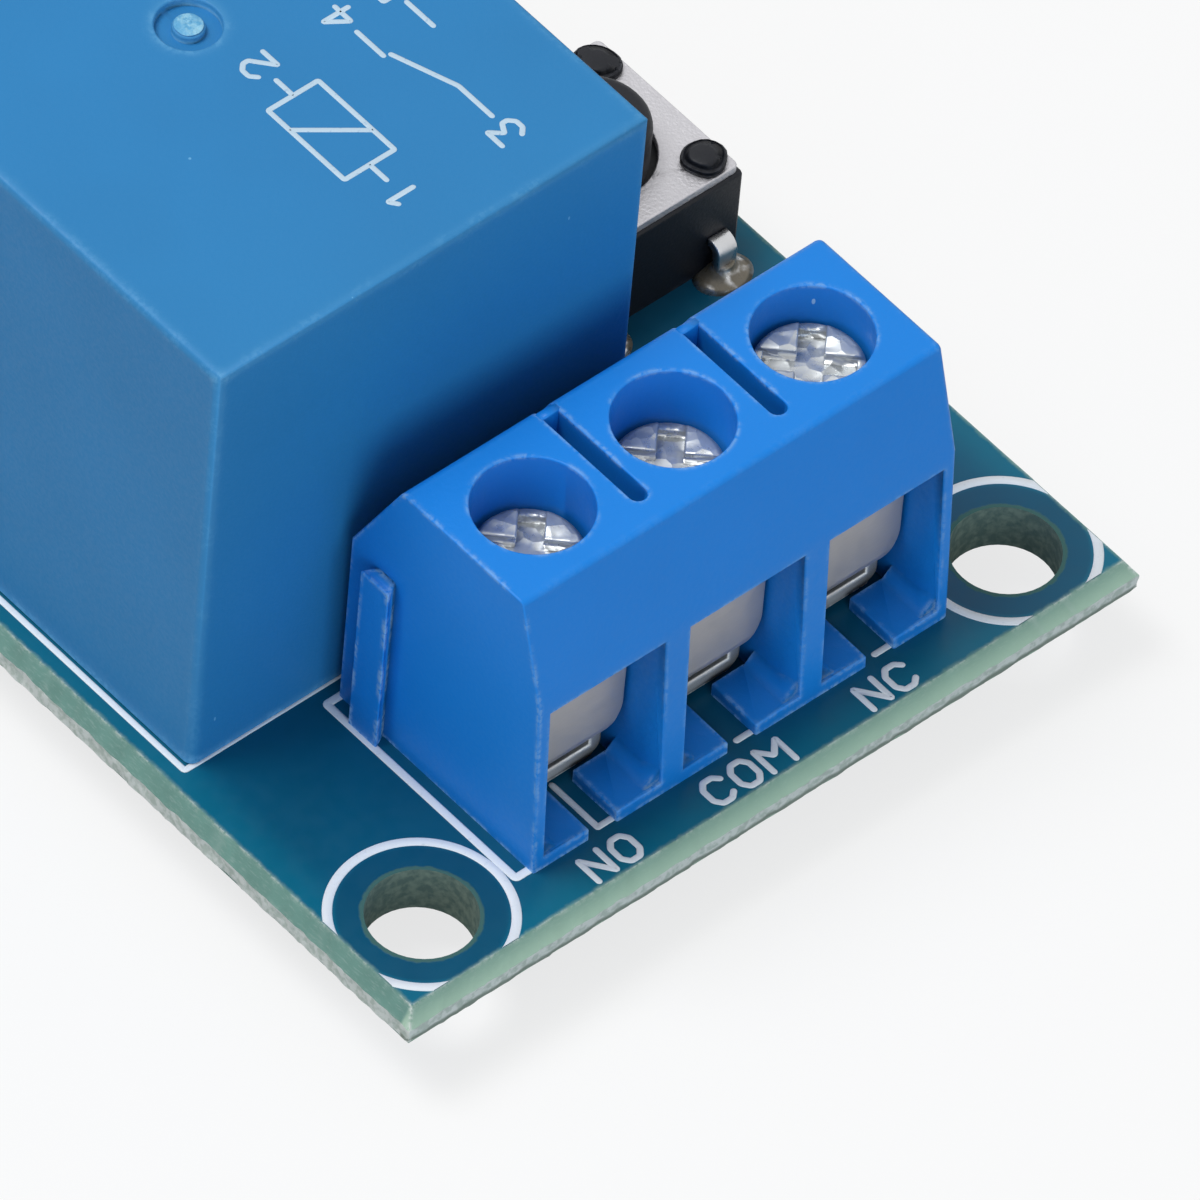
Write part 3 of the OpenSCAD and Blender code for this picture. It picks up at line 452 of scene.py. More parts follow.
def outer_faces(bm):
    """The faces that no point of the solid stands in front of."""
    points = [vert.co for vert in bm.verts]
    found = set()
    for face in bm.faces:
        level = face.normal.dot(face.verts[0].co) + 2 * TINY
        if all(face.normal.dot(point) < level for point in points):
            found.add(face.index)
    return found


def softened(node, radius, finish, inner=None, segments=2, limit=30, shape=None):
    """A copy of a solid with its outward edges rounded over, except round its foot."""
    bm = merged_copy(node)
    if shape:
        shape(bm)
        bm.normal_update()
    bm.faces.index_update()
    foot = min(vert.co.z for vert in bm.verts) + 2 * TINY
    weight = bm.edges.layers.float.new("bevel_weight_edge")
    outer = outer_faces(bm) if inner else set()
    for edge in bm.edges:
        if not edge.is_convex or edge.calc_face_angle() < math.radians(limit):
            continue
        if all(vert.co.z < foot for vert in edge.verts):
            edge.smooth = False
            continue
        on_outside = all(face.index in outer for face in edge.link_faces)
        edge[weight] = inner / radius if inner and not on_outside else 1.0
    body = frame["nodes"][node]["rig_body"]
    piece = new_piece(node + "_finished", bm, body, finish)
    round_over(piece, radius, segments)
    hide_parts(node)


def round_over(piece, radius, segments):
    edges = piece.modifiers.new("Rounded edges", "BEVEL")
    edges.limit_method = "WEIGHT"
    edges.width = radius
    edges.segments = segments
    edges.use_clamp_overlap = False
    edges.loop_slide = False
    shading = piece.modifiers.new("Even shading", "WEIGHTED_NORMAL")
    shading.keep_sharp = True


def melted_heads(bm):
    """Turns the staked heads of the button's body into low uneven domes."""
    shoulder = 0.22 * MM
    brim = 0.45 * MM
    sway = 0.12 * MM
    drop = 0.06 * MM
    dent = 0.04 * MM
    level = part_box("button_plate")[1].z
    tops = [face for face in bm.faces if face.normal.z > 0.99 and face.verts[0].co.z > level + brim / 4]
    centres = [face.calc_center_median() for face in tops]
    summit = centres[0].z
    bmesh.ops.inset_individual(bm, faces=tops, thickness=shoulder, use_even_offset=True)
    bmesh.ops.poke(bm, faces=tops)
    for vert in bm.verts:
        if vert.co.z < level - TINY:
            continue
        centre = min(centres, key=lambda place: (place - vert.co).to_2d().length)
        arm = (vert.co - centre) * Vector((1, 1, 0))
        at_brim = arm.length > brim
        if at_brim:
            vert.co += arm.normalized() * noise.noise(arm.normalized() + centre / MM) * sway
        if vert.co.z > summit - TINY:
            vert.co.z -= drop * at_brim + abs(noise.noise(vert.co / (0.6 * MM))) * dent


def dress(node, finish):
    """A finish on a solid that keeps its own shape."""
    mesh = frame["nodes"][node].data
    mesh.materials.clear()
    mesh.materials.append(finish)


def bent_run(points, bend, closed=False, steps=4):
    """The points of a line with its corners turned in short arcs."""
    places = [Vector(point).to_2d() for point in points]
    count = len(places)
    made = []
    for i, corner in enumerate(places):
        if not closed and i in (0, count - 1):
            made.append(corner)
            continue
        back = (places[i - 1] - corner).normalized()
        ahead = (places[(i + 1) % count] - corner).normalized()
        for k in range(steps + 1):
            share = k / steps
            ease = (1 - share) ** 2 * back + share ** 2 * ahead
            made.append(corner + bend * ease)
    return made


def round_ended(points, half):
    """Line points with a radius share each, ended in half circles."""
    made = [(point, 1.0) for point in points]
    for end, inward in ((0, 1), (-1, -2)):
        way = (points[end] - points[inward]).normalized()
        cap = []
        for degrees in (30, 60, 85):
            turn = math.radians(degrees)
            cap.append((points[end] + way * half * math.sin(turn), math.cos(turn)))
        made = cap[::-1] + made if end == 0 else made + cap
    return made


def ink_lines(name, runs, width, height, level, finish, bend=None):
    """Low rounded lines of ink along runs of points. A run is (points, closed), in metres."""
    curve = bpy.data.curves.new(name, "CURVE")
    curve.dimensions = "3D"
    curve.bevel_depth = width / 2
    curve.bevel_resolution = 3
    curve.use_fill_caps = True
    for points, closed in runs:
        path = bent_run(points, bend or width * 0.3, closed)
        places = [(point, 1.0) for point in path] if closed else round_ended(path, width / 2)
        spline = curve.splines.new("POLY")
        spline.points.add(len(places) - 1)
        for knot, (point, share) in zip(spline.points, places):
            knot.co = (point.x, point.y, 0, 1)
            knot.radius = share
        spline.use_cyclic_u = closed
    holder = in_scene(name, curve)
    graph = bpy.context.evaluated_depsgraph_get()
    mesh = bpy.data.meshes.new_from_object(holder.evaluated_get(graph))
    bpy.data.objects.remove(holder)
    bpy.data.curves.remove(curve)
    flatten = Matrix.Diagonal((1, 1, 2 * height / width, 1))
    mesh.transform(Matrix.Translation((0, 0, level)) @ flatten)
    mesh.shade_smooth()
    place_piece(name, mesh, ROOT, finish)


# Strokes of the printed letters and figures, on a cell that is 1 high and about 0.75 wide
STROKES = {
    "N": [(0, 0), (0, 1), (0.75, 0), (0.75, 1)],
    "O": [(0, 0.25), (0, 0.75), (0.2, 1), (0.55, 1), (0.75, 0.75), (0.75, 0.25), (0.55, 0), (0.2, 0)],
    "C": [(0.75, 0.82), (0.55, 1), (0.2, 1), (0, 0.75), (0, 0.25), (0.2, 0), (0.55, 0), (0.75, 0.18)],
    "M": [(0, 0), (0, 1), (0.45, 0.5), (0.9, 1), (0.9, 0)],
    "1": [(0.15, 0.8), (0.4, 1), (0.4, 0)],
    "2": [(0, 0.8), (0.2, 1), (0.5, 1), (0.7, 0.8), (0.7, 0.6), (0, 0), (0.7, 0)],
    "3": [(0, 1), (0.7, 1), (0.35, 0.6), (0.7, 0.4), (0.7, 0.2), (0.5, 0), (0.2, 0), (0, 0.2)],
    "4": [(0.5, 0), (0.5, 1), (0, 0.3), (0.75, 0.3)],
    "5": [(0.65, 1), (0, 1), (0, 0.55), (0.5, 0.55), (0.7, 0.35), (0.5, 0), (0, 0)],
}


def lettering(word, start, height, along=(1, 0), up=(0, 1), advance=1.12):
    """Runs of a word whose first letter stands on a start point."""
    runs = []
    for i, sign in enumerate(word):
        placed = []
        for across, rise in STROKES[sign]:
            run = across + i * advance
            placed.append(tuple(start[k] + height * (run * along[k] + rise * up[k]) for k in (0, 1)))
        runs.append((placed, sign == "O"))
    return runs


def mm_run(*points, closed=False):
    """A run given in millimetres."""
    return ([(x * MM, y * MM) for x, y in points], closed)


def mm_box(x0, y0, x1, y1):
    return mm_run((x0, y0), (x1, y0), (x1, y1), (x0, y1), closed=True)


def spun(bm, profile, x, y, squeeze=(1.0, 1.0), steps=32):
    """A closed round shape from a profile of (radius, height) points, about an upright axis at x, y."""
    old = set(bm.verts)
    verts = [bm.verts.new((radius, 0, height)) for radius, height in profile]
    edges = [bm.edges.new(pair) for pair in zip(verts, verts[1:])]
    edges.append(bm.edges.new((verts[-1], verts[0])))
    bmesh.ops.spin(
        bm, geom=verts + edges, cent=(0, 0, 0), axis=(0, 0, 1), angle=math.tau, steps=steps, use_merge=True
    )
    whole = [vert for vert in bm.verts if vert not in old]
    bmesh.ops.scale(bm, vec=(*squeeze, 1), verts=whole)
    bmesh.ops.translate(bm, vec=(x, y, 0), verts=whole)


def walk_shell(face):
    """All points of the shell that a face belongs to."""
    seen = {face}
    queue = [face]
    while queue:
        for edge in queue.pop().edges:
            for other in edge.link_faces:
                if other not in seen:
                    seen.add(other)
                    queue.append(other)
    return {vert for item in seen for vert in item.verts}


def hole_rings(bm, radius, width, low, high):
    """Printed rings round the mounting holes, cut off where the flat of the board ends."""
    inner = radius - width / 2
    outer = radius + width / 2
    brow = width / 8
    profile = [(inner, low), (inner + brow, high), (outer - brow, high), (outer, low)]
    for side in (-1, 1):
        for end in (-1, 1):
            spun(bm, profile, side * HOLE_X, end * HOLE_Y, steps=96)
    bmesh.ops.recalc_face_normals(bm, faces=bm.faces)
    for way, reach in (((1, 0, 0), FLAT_X), ((-1, 0, 0), FLAT_X), ((0, 1, 0), FLAT_Y), ((0, -1, 0), FLAT_Y)):
        direction = Vector(way)
        parts = list(bm.verts) + list(bm.edges) + list(bm.faces)
        cut = bmesh.ops.bisect_plane(
            bm, geom=parts, plane_co=direction * (reach - 3 * TINY), plane_no=direction, clear_outer=True
        )
        rim = [item for item in cut["geom_cut"] if isinstance(item, bmesh.types.BMEdge)]
        bmesh.ops.holes_fill(bm, edges=rim, sides=8)


def rim_sides(vert):
    """Whether a point of the board lies on the rim of its long sides, and of its ends."""
    return abs(abs(vert.co.x) - HALF_W) < TINY, abs(abs(vert.co.y) - HALF_L) < TINY


def rough_snap(bm, amount, pitch=0.16 * MM, rows=3):
    """Cuts the board's edge faces fine and breaks up the web that was snapped."""
    bmesh.ops.triangulate(bm, faces=[f for f in bm.faces if abs(f.normal.z) > 0.9])
    steep = [f for f in bm.faces if abs(f.normal.z) < 0.9]
    flanks = [f for f in steep if sum(any(rim_sides(v)) for v in f.verts) >= 2]
    rails = {e for f in flanks for e in f.edges if abs(e.verts[0].co.z - e.verts[1].co.z) < TINY}
    for axis, length in ((0, 2 * HALF_W), (1, 2 * HALF_L)):
        other = 1 - axis
        runs = [e for e in rails if abs(e.verts[0].co[other] - e.verts[1].co[other]) < TINY]
        bmesh.ops.subdivide_edges(bm, edges=runs, cuts=round(length / pitch), use_grid_fill=True)
    posts = []
    for edge in bm.edges:
        a, b = edge.verts
        if any(rim_sides(a)) and any(rim_sides(b)) and abs(a.co.z - b.co.z) > 0.2 * MM:
            posts.append(edge)
    bmesh.ops.subdivide_edges(bm, edges=posts, cuts=rows, use_grid_fill=True)
    for vert in bm.verts:
        side, end = rim_sides(vert)
        if side or end:
            push = noise.noise(vert.co / (0.35 * MM)) * 0.5 + noise.noise(vert.co / (1.7 * MM)) * 0.5
            inward = Vector((-side * math.copysign(1, vert.co.x), -end * math.copysign(1, vert.co.y), 0))
            vert.co += inward * amount * min(1.0, abs(push) * 1.6)
            vert.co.z += noise.noise(vert.co / (0.5 * MM)) * amount * 0.8
    for edge in bm.edges:
        edge.smooth = len(edge.link_faces) == 2 and edge.calc_face_angle() < math.radians(28)


def board_finish(colours):
    """Solder mask over copper on the flats, bare laminate with broken fibre on the scored edges."""
    torn_web = paint(192, 204, 196)
    web_foot_shade = paint(134, 146, 136)
    nicked = paint(236, 240, 234)
    bore_dark = paint(96, 118, 112)
    bore_pale = paint(128, 146, 134)
    finish, net, shader = new_finish("board_mask_and_laminate")
    spot = net.add("SeparateXYZ", {"Vector": net.place()}).outputs
    facing = net.math("ABSOLUTE", net.add("SeparateXYZ", {"Vector": net.place("Normal")}).outputs[2])
    off_x = net.math("ABSOLUTE", spot[0])
    off_y = net.math("ABSOLUTE", spot[1])
    rim = net.math("MINIMUM", net.less(FLAT_X, off_x), net.less(FLAT_Y, off_y))
    across = net.less(off_x, HOLE_X)
    along = net.less(off_y, HOLE_Y)
    from_hole = net.math("SQRT", net.plus(net.times(across, across), net.times(along, along)))
    wander = net.times(net.less(net.noise(0.25 * MM, 3.0), 0.5), 0.16 * MM)
    uneven_rim = net.plus(rim, wander)

    def past_hole(low, high, distance=from_hole):
        """From 0 to 1 between two distances from the wall of a hole, in mm."""
        return net.step(distance, HOLE_R + low * MM, HOLE_R + high * MM)

    in_mask = net.step(uneven_rim, -0.05 * MM, 0.14 * MM)
    open_mask = net.times(in_mask, past_hole(0.08, 0.16, net.plus(from_hole, wander)))
    coated = net.times(net.step(facing, 0.9, 0.97), open_mask)

    mask = net.mix(net.step(uneven_rim, 0.1 * MM, 1.5 * MM), colours.mask_edge, colours.mask)
    in_ring = net.step(from_hole, 2.3 * MM, 2.5 * MM, 1.0, 0.0)
    mask = net.mix(net.times(in_ring, 0.8), mask, colours.mask_ring)
    mask = shaded(net, mask, 4, 0.35)
    mask = net.mix(net.use(stray_specks(), size=1.1 * MM, share=0.08), mask, colours.mask_edge)

    weave = net.noise(0.09 * MM, 3.0, net.spread((0.35, 0.35, 2.2)))
    torn = net.noise(0.22 * MM, 4.0)
    laminate = shaded(net, colours.laminate, 1.2, 0.45)
    laminate = net.mix(net.step(weave, 0.5, 0.75, 0.0, 0.14), laminate, colours.fibre)
    at_end = net.step(off_y, FLAT_Y - 0.1 * MM, FLAT_Y + 0.05 * MM)
    pale = net.times(at_end, net.step(rim, 0.05 * MM, -SCORE_IN, 0.3, 1.0))
    laminate = net.mix(pale, laminate, colours.whitened)

    upright = net.step(facing, 0.5, 0.3)
    outside = past_hole(0.03, 0.06)
    clear = past_hole(0.25, 0.4)
    broken = net.mix(net.step(torn, 0.36, 0.6), torn_web, colours.fibre)
    # Painted shade along the foot of the snapped web: its colour darkens towards the bottom.
    foot = net.step(spot[2], SCORE_DEPTH + 0.08 * MM, SCORE_DEPTH + 0.22 * MM, 1.0, 0.0)
    broken = net.mix(net.times(foot, at_end), broken, web_foot_shade)
    laminate = net.mix(net.times(upright, outside), laminate, broken)
    wear = net.use(edge_wear_and_highlight(), reach=0.2 * MM, patch=0.5 * MM, amount=1.0)
    laminate = net.mix(net.times(wear, clear), laminate, nicked)
    laminate = net.mix(clear, colours.drilled, laminate)
    bore = net.mix(net.step(torn, 0.35, 0.7), bore_dark, bore_pale)
    laminate = net.mix(net.times(net.less(1.0, outside), upright), laminate, bore)

    net.put(shader["Base Color"], net.mix(coated, laminate, mask))
    shader["Specular IOR Level"].default_value = 0.25
    ripple = net.noise(0.5 * MM)
    gloss = net.step(ripple, 0.3, 0.7, 0.3, 0.42)
    net.put(shader["Roughness"], net.mix(coated, (0.75, 0.75, 0.75), gloss))
    bare = net.times(torn, net.less(1.0, coated))
    net.put(shader["Normal"], bump(net, net.plus(net.times(ripple, 0.3), bare), 0.02 * MM, 0.8))
    return finish


def ink_finish(name, colour, thin):
    """Printed ink with a faint grain and thin spots."""
    finish, net, shader = new_finish(name)
    ink = shaded(net, colour, 0.6, 0.12)
    gaps = net.step(net.noise(0.16 * MM, 4.0), 0.6, 0.8, 0.0, 0.5)
    net.put(shader["Base Color"], net.mix(gaps, ink, thin))
    grain = net.use(fine_grain(), size=0.06 * MM)
    net.put(shader["Roughness"], net.step(grain, 0.2, 0.8, 0.5, 0.65))
    net.put(shader["Normal"], bump(net, grain, 0.003 * MM))
    return finish


def solder_finish(name, flux):
    """Bright solder with a dull skin and brown flux at its foot."""
    finish, net, shader = new_finish(name)
    skin = net.noise(0.3 * MM, 4.0)
    stain = net.step(net.noise(0.5 * MM, 3.0), 0.36, 0.58, 0.0, flux)
    bright = shaded(net, paint(205, 206, 208), 0.8, 0.4)
    net.put(shader["Base Color"], net.mix(stain, bright, paint(104, 90, 58)))
    net.put(shader["Metallic"], net.less(1.0, stain, clamp=True))
    net.put(shader["Roughness"], net.step(skin, 0.3, 0.7, 0.2, 0.45))
    net.put(shader["Normal"], bump(net, skin, 0.02 * MM))
    return finish


def winding_finish():
    """Enamelled wire wound in level turns."""
    finish, net, shader = new_finish("wound_wire")
    shader["Metallic"].default_value = 1.0
    wave = {"Vector": net.place(), "Scale": 1 / (0.6 * MM), "Distortion": 0.4}
    turns = net.add("TexWave", wave, bands_direction="Z").outputs[1]
    wire = shaded(net, paint(184, 110, 62), 1.5, 0.3)
    net.put(shader["Base Color"], net.mix(net.step(turns, 0.0, 0.5), paint(80, 40, 24), wire))
    net.put(shader["Roughness"], net.step(net.noise(0.4 * MM), 0.3, 0.7, 0.25, 0.4))
    net.put(shader["Normal"], bump(net, turns, 0.06 * MM))
    return finish


def lens_finish():
    """Tinted clear resin over the lamp."""
    finish, net, shader = new_finish("lamp_resin")
    net.put(shader["Base Color"], shaded(net, paint(240, 170, 150), 0.7, 0.3))
    net.put(shader["Roughness"], net.step(net.noise(0.2 * MM), 0.3, 0.7, 0.08, 0.2))
    shader["Transmission Weight"].default_value = 0.5
    return finish


def middle(node):
    low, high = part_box(node)
    return (low + high) / 2


# Leads through the board: node, side of its box along x and y, half widths in mm
LEADS = (
    ("closed_contact", 1, 0, 0.2, 0.5),
    ("open_contact", -1, 0, 0.2, 0.5),
    ("common_pin", 0, 0, 0.5, 0.2),
    *(("coil_pins", side, 0, 0.3, 0.3) for side in (-1, 1)),
    *((f"terminal_contact_{n}", 0, 1, 0.5, 0.3) for n in POLES),
    *(("button_legs", side, end, 0.35, 0.15) for side in (-1, 1) for end in (-1, 1)),
    *(("header_pins", side, 0, 0.32, 0.32) for side in (-1, 0, 1)),
)


def lead_places(*wanted):
    """Where the leads of all nodes, or of some, go through the board: x, y, half x, half y."""
    places = []
    for node, side, end, half_x, half_y in LEADS:
        if wanted and node not in wanted:
            continue
        low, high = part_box(node)
        centre = (low + high) / 2
        half = Vector((half_x, half_y, 0)) * MM
        reach = (high - low) / 2 - half
        places.append((centre.x + side * reach.x, centre.y + end * reach.y, half.x, half.y))
    return places


def foot_boxes(node):
    """Corners of the lead ends of a node that stand on the board."""
    bm = merged_copy(node)
    seen = set()
    boxes = []
    for face in bm.faces:
        if face in seen:
            continue
        shell = walk_shell(face)
        seen.update(other for vert in shell for other in vert.link_faces)
        ends = [vert.co for vert in shell if vert.co.z < BOARD_TOP + 0.1 * MM]
        if ends:
            low = Vector([min(point[k] for point in ends) for k in range(3)])
            high = Vector([max(point[k] for point in ends) for k in range(3)])
            boxes.append((low, high))
    bm.free()
    return boxes


def add_pad(bm, low, high, margin=0.18 * MM, rise=0.06 * MM):
    """A pillow of solder on the board under a lead end."""
    span = high - low
    centre = ((low.x + high.x) / 2, (low.y + high.y) / 2, BOARD_TOP)
    size = Matrix.Diagonal((span.x + 2 * margin, span.y + 2 * margin, 2 * rise, 1))
    made = bmesh.ops.create_cube(bm, size=1, matrix=Matrix.Translation(centre) @ size)
    edges = list(dict.fromkeys(edge for vert in made["verts"] for edge in vert.link_edges))
    bmesh.ops.bevel(bm, geom=edges, offset=0.9 * rise, segments=3, profile=0.5, material=-1, affect="EDGES")


def fillet_profile(foot, neck, level, rise, steps=6):
    """A hollow cone of solder from a foot to a neck, as (radius, height) points down to the axis side."""
    core = neck * 0.6
    made = [(core, level), (foot, level)]
    for k in range(1, steps + 1):
        share = k / steps
        made.append((neck + (foot - neck) * (1 - share) ** 2.2, level + rise * share))
    made.append((core, level + rise))
    return made


class RELAYMODULE_OT_board(bpy.types.Operator):
    """Board with its snapped edges, mask, outlines, rings and labels"""

    bl_idname = "relaymodule.board"
    bl_label = "Board and printing"

    def execute(self, context):
        colours = context.scene.module_colours
        sizes = context.scene.module_print
        bm = merged_copy("circuit_board")
        rough_snap(bm, context.scene.module_edges.snap)
        board = new_piece("circuit_board_finished", bm, ROOT, board_finish(colours))
        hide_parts("circuit_board")
        silk = ink_finish("silk_ink", colours.silk, paint(190, 205, 215))
        rings = bmesh.new()
        hole_rings(rings, sizes.ring, sizes.ring_line, BOARD_TOP - sizes.height, BOARD_TOP + sizes.height)
        new_piece("hole_rings", rings, ROOT, silk)
        outlines = [
            mm_run((-7.0, BACK_LINE), (-7.83, BACK_LINE), (-7.83, FRONT_LINE), (-6.6, FRONT_LINE)),
            mm_run((7.1, FRONT_LINE), (7.7, FRONT_LINE)),
            mm_run((8.35, -22.7), (8.35, BACK_LINE), (7.6, BACK_LINE)),
            mm_box(-4.2, 21, 4.2, 23.8),
            mm_run((-9.2, 5.6), (-9.2, 11.5)),
            mm_box(6.4, 5.6, 10, 11.5),
        ]
        hidden = [mm_box(-12.47, -14.815, 3.38, 4.36), mm_run((-4.85, FRONT_LINE), (-4.85, -21.45))]
        for n in POLES:
            hook = middle(f"terminal_screw_{n}").x
            ends = (hook - 0.03 * MM, hook + 0.75 * MM)
            hidden.append(([(x, FRONT_LINE * MM) for x in ends], False))
        labels = []
        for word, left in (("NO", -6.1), ("COM", -1.72), ("NC", 3.97)):
            labels += lettering(word, (left * MM, LABEL_LINE * MM), sizes.letter)
        prints = {
            "board_outlines": (outlines, sizes.line),
            "part_outlines": (hidden, sizes.fine_line),
            "contact_labels": (labels, sizes.stroke),
        }
        for name, (runs, width) in prints.items():
            ink_lines(name, runs, width, sizes.height, BOARD_TOP, silk)
        return {"FINISHED"}


class RELAYMODULE_OT_solder(bpy.types.Operator):
    """Solder round the leads, and wide tracks under the board"""

    bl_idname = "relaymodule.solder"
    bl_label = "Solder and tracks"

    def execute(self, context):
        colours = context.scene.module_colours
        bright = solder_finish("clean_solder", 0.15)
        fluxed = solder_finish("fluxed_solder", 0.85)
        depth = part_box("solder_joints")[0].z
        under = bmesh.new()
        for x, y, half_x, half_y in lead_places():
            foot = math.hypot(half_x, half_y) + 0.55 * MM
            neck = max(half_x, half_y) + 0.1 * MM
            spun(under, fillet_profile(foot, neck, 0.0, depth), x, y)
        bmesh.ops.recalc_face_normals(under, faces=under.faces)
        joints = new_piece("solder_joints_finished", under, ROOT, bright)
        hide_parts("solder_joints")
        over = bmesh.new()
        cone = fillet_profile(0.95 * MM, 0.33 * MM, BOARD_TOP, 0.55 * MM)
        for x, y, *_ in lead_places("button_legs"):
            spun(over, cone, x, y, squeeze=(1.0, 0.8))
        bmesh.ops.recalc_face_normals(over, faces=over.faces)
        new_piece("button_leg_solder", over, ROOT, fluxed)
        tracks = ink_finish("mask_over_copper", paint(20, 112, 140), colours.mask)
        closed, opened, common, *rest = [Vector(place[:2]) for place in lead_places()]
        turn = Vector((0, -2.75 * MM))
        wide = [
            ([opened, opened + turn, rest[2]], False),
            ([closed, closed + turn, rest[4]], False),
            ([common, common + 4.4 * turn, rest[3]], False),
        ]
        ink_lines("contact_tracks", wide, 2.4 * MM, 0.03 * MM, 0.0, tracks, bend=0.8 * MM)
        return {"FINISHED"}


class RELAYMODULE_OT_relay(bpy.types.Operator):
    """Relay case with its contact diagram, and the coil and contacts inside"""

    bl_idname = "relaymodule.relay"
    bl_label = "Relay"

    def execute(self, context):
        colours = context.scene.module_colours
        sizes = context.scene.module_print
        # The wide pale band along the case's edges, kept partly unbroken by even, is a painted highlight as
        # well as wear.
        blue = moulded("relay_blue", colours.relay, colours.relay_edge_wear_and_sheen, rough=0.5, grain=0.12, depth=0.008,
                       reach=0.45, wear=0.8, specks=0.35, even=0.4)
        softened("relay_cover", context.scene.module_edges.case, blue, limit=60)
        dress("relay_base", blue)
        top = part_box("relay_cover")[1].z
        self.nip_vent(top)
        ink = ink_finish("case_ink", colours.pad_print, colours.relay)
        runs = self.diagram()
        ink_lines("contact_diagram", runs, sizes.case_line, sizes.height / 2, top, ink)
        soft_iron = plated("soft_iron", paint(150, 152, 155), rough=0.4)
        brass = plated("spring_brass", paint(212, 178, 104), rough=0.34, drift=0.1, mottle=0.03)
        silver = plated("contact_silver", paint(225, 225, 222), rough=0.25)
        black = moulded("bobbin_black", colours.black, paint(90, 92, 100), rough=0.5)
        tinned = plated("pin_tin", paint(196, 198, 200), rough=0.35, stretch=DRAWN_UP)
        finishes = {
            "coil_bobbin": black, "coil_winding": winding_finish(), "coil_core": soft_iron,
            "coil_pins": tinned, "relay_yoke": soft_iron, "relay_armature": soft_iron,
            "contact_spring": brass, "moving_contact": silver, "closed_contact": brass,
            "open_contact": brass, "common_pin": brass,
        }
        for node, finish in finishes.items():
            dress(node, finish)
        return {"FINISHED"}

    def diagram(self):
        """Runs of the coil, the change-over contact and the pin figures."""
        runs = [
            mm_box(-4.9, -11.4, -3.1, -8.2),
            mm_run((-4.0, -12.1), (-4.0, -11.4)),
            mm_run((-4.0, -8.2), (-4.0, -7.5)),
            mm_run((-4.9, -9.1), (-3.1, -10.5)),
            mm_run((-0.2, -12.1), (-0.2, -10.7), (-0.9, -8.7)),
            mm_run((-1.1, -7.5), (-1.1, -8.6)),
            mm_run((0.7, -7.5), (0.7, -8.6)),
        ]
        front = -13.1
        back = -7.1
        places = ((-3.6, front), (-3.6, back), (0.2, front), (-0.7, back), (1.1, back))
        for sign, (x, y) in zip("12345", places):
            runs += lettering(sign, (x * MM, y * MM), 0.9 * MM, along=(0, 1), up=(-1, 0))
        return runs

    def nip_vent(self, top):
        """The rough torn top of the stub in the vent, painted pale as its highlight."""
        centre = middle("relay_cover")
        flat = 0.08
        rough = 0.02 * MM
        place = Matrix.Translation((centre.x, centre.y + VENT_BACK, top - rough))
        bm = bmesh.new()
        bmesh.ops.create_uvsphere(
            bm, u_segments=32, v_segments=16, radius=STUB_R, matrix=place @ Matrix.Diagonal((1, 1, flat, 1))
        )
        for vert in bm.verts:
            vert.co.z += noise.noise(vert.co / (0.16 * MM)) * rough
        # The stub's top is painted pale blue and paler still at its edges: a painted highlight for its glint.
        torn = moulded("torn_stub_glint_blue", paint(96, 172, 218), paint(158, 214, 240), grain=0.1, depth=0.05,
                       wear=1.0, specks=0.6, drift=0.6)
        new_piece("vent_stub_top", bm, ROOT, torn)


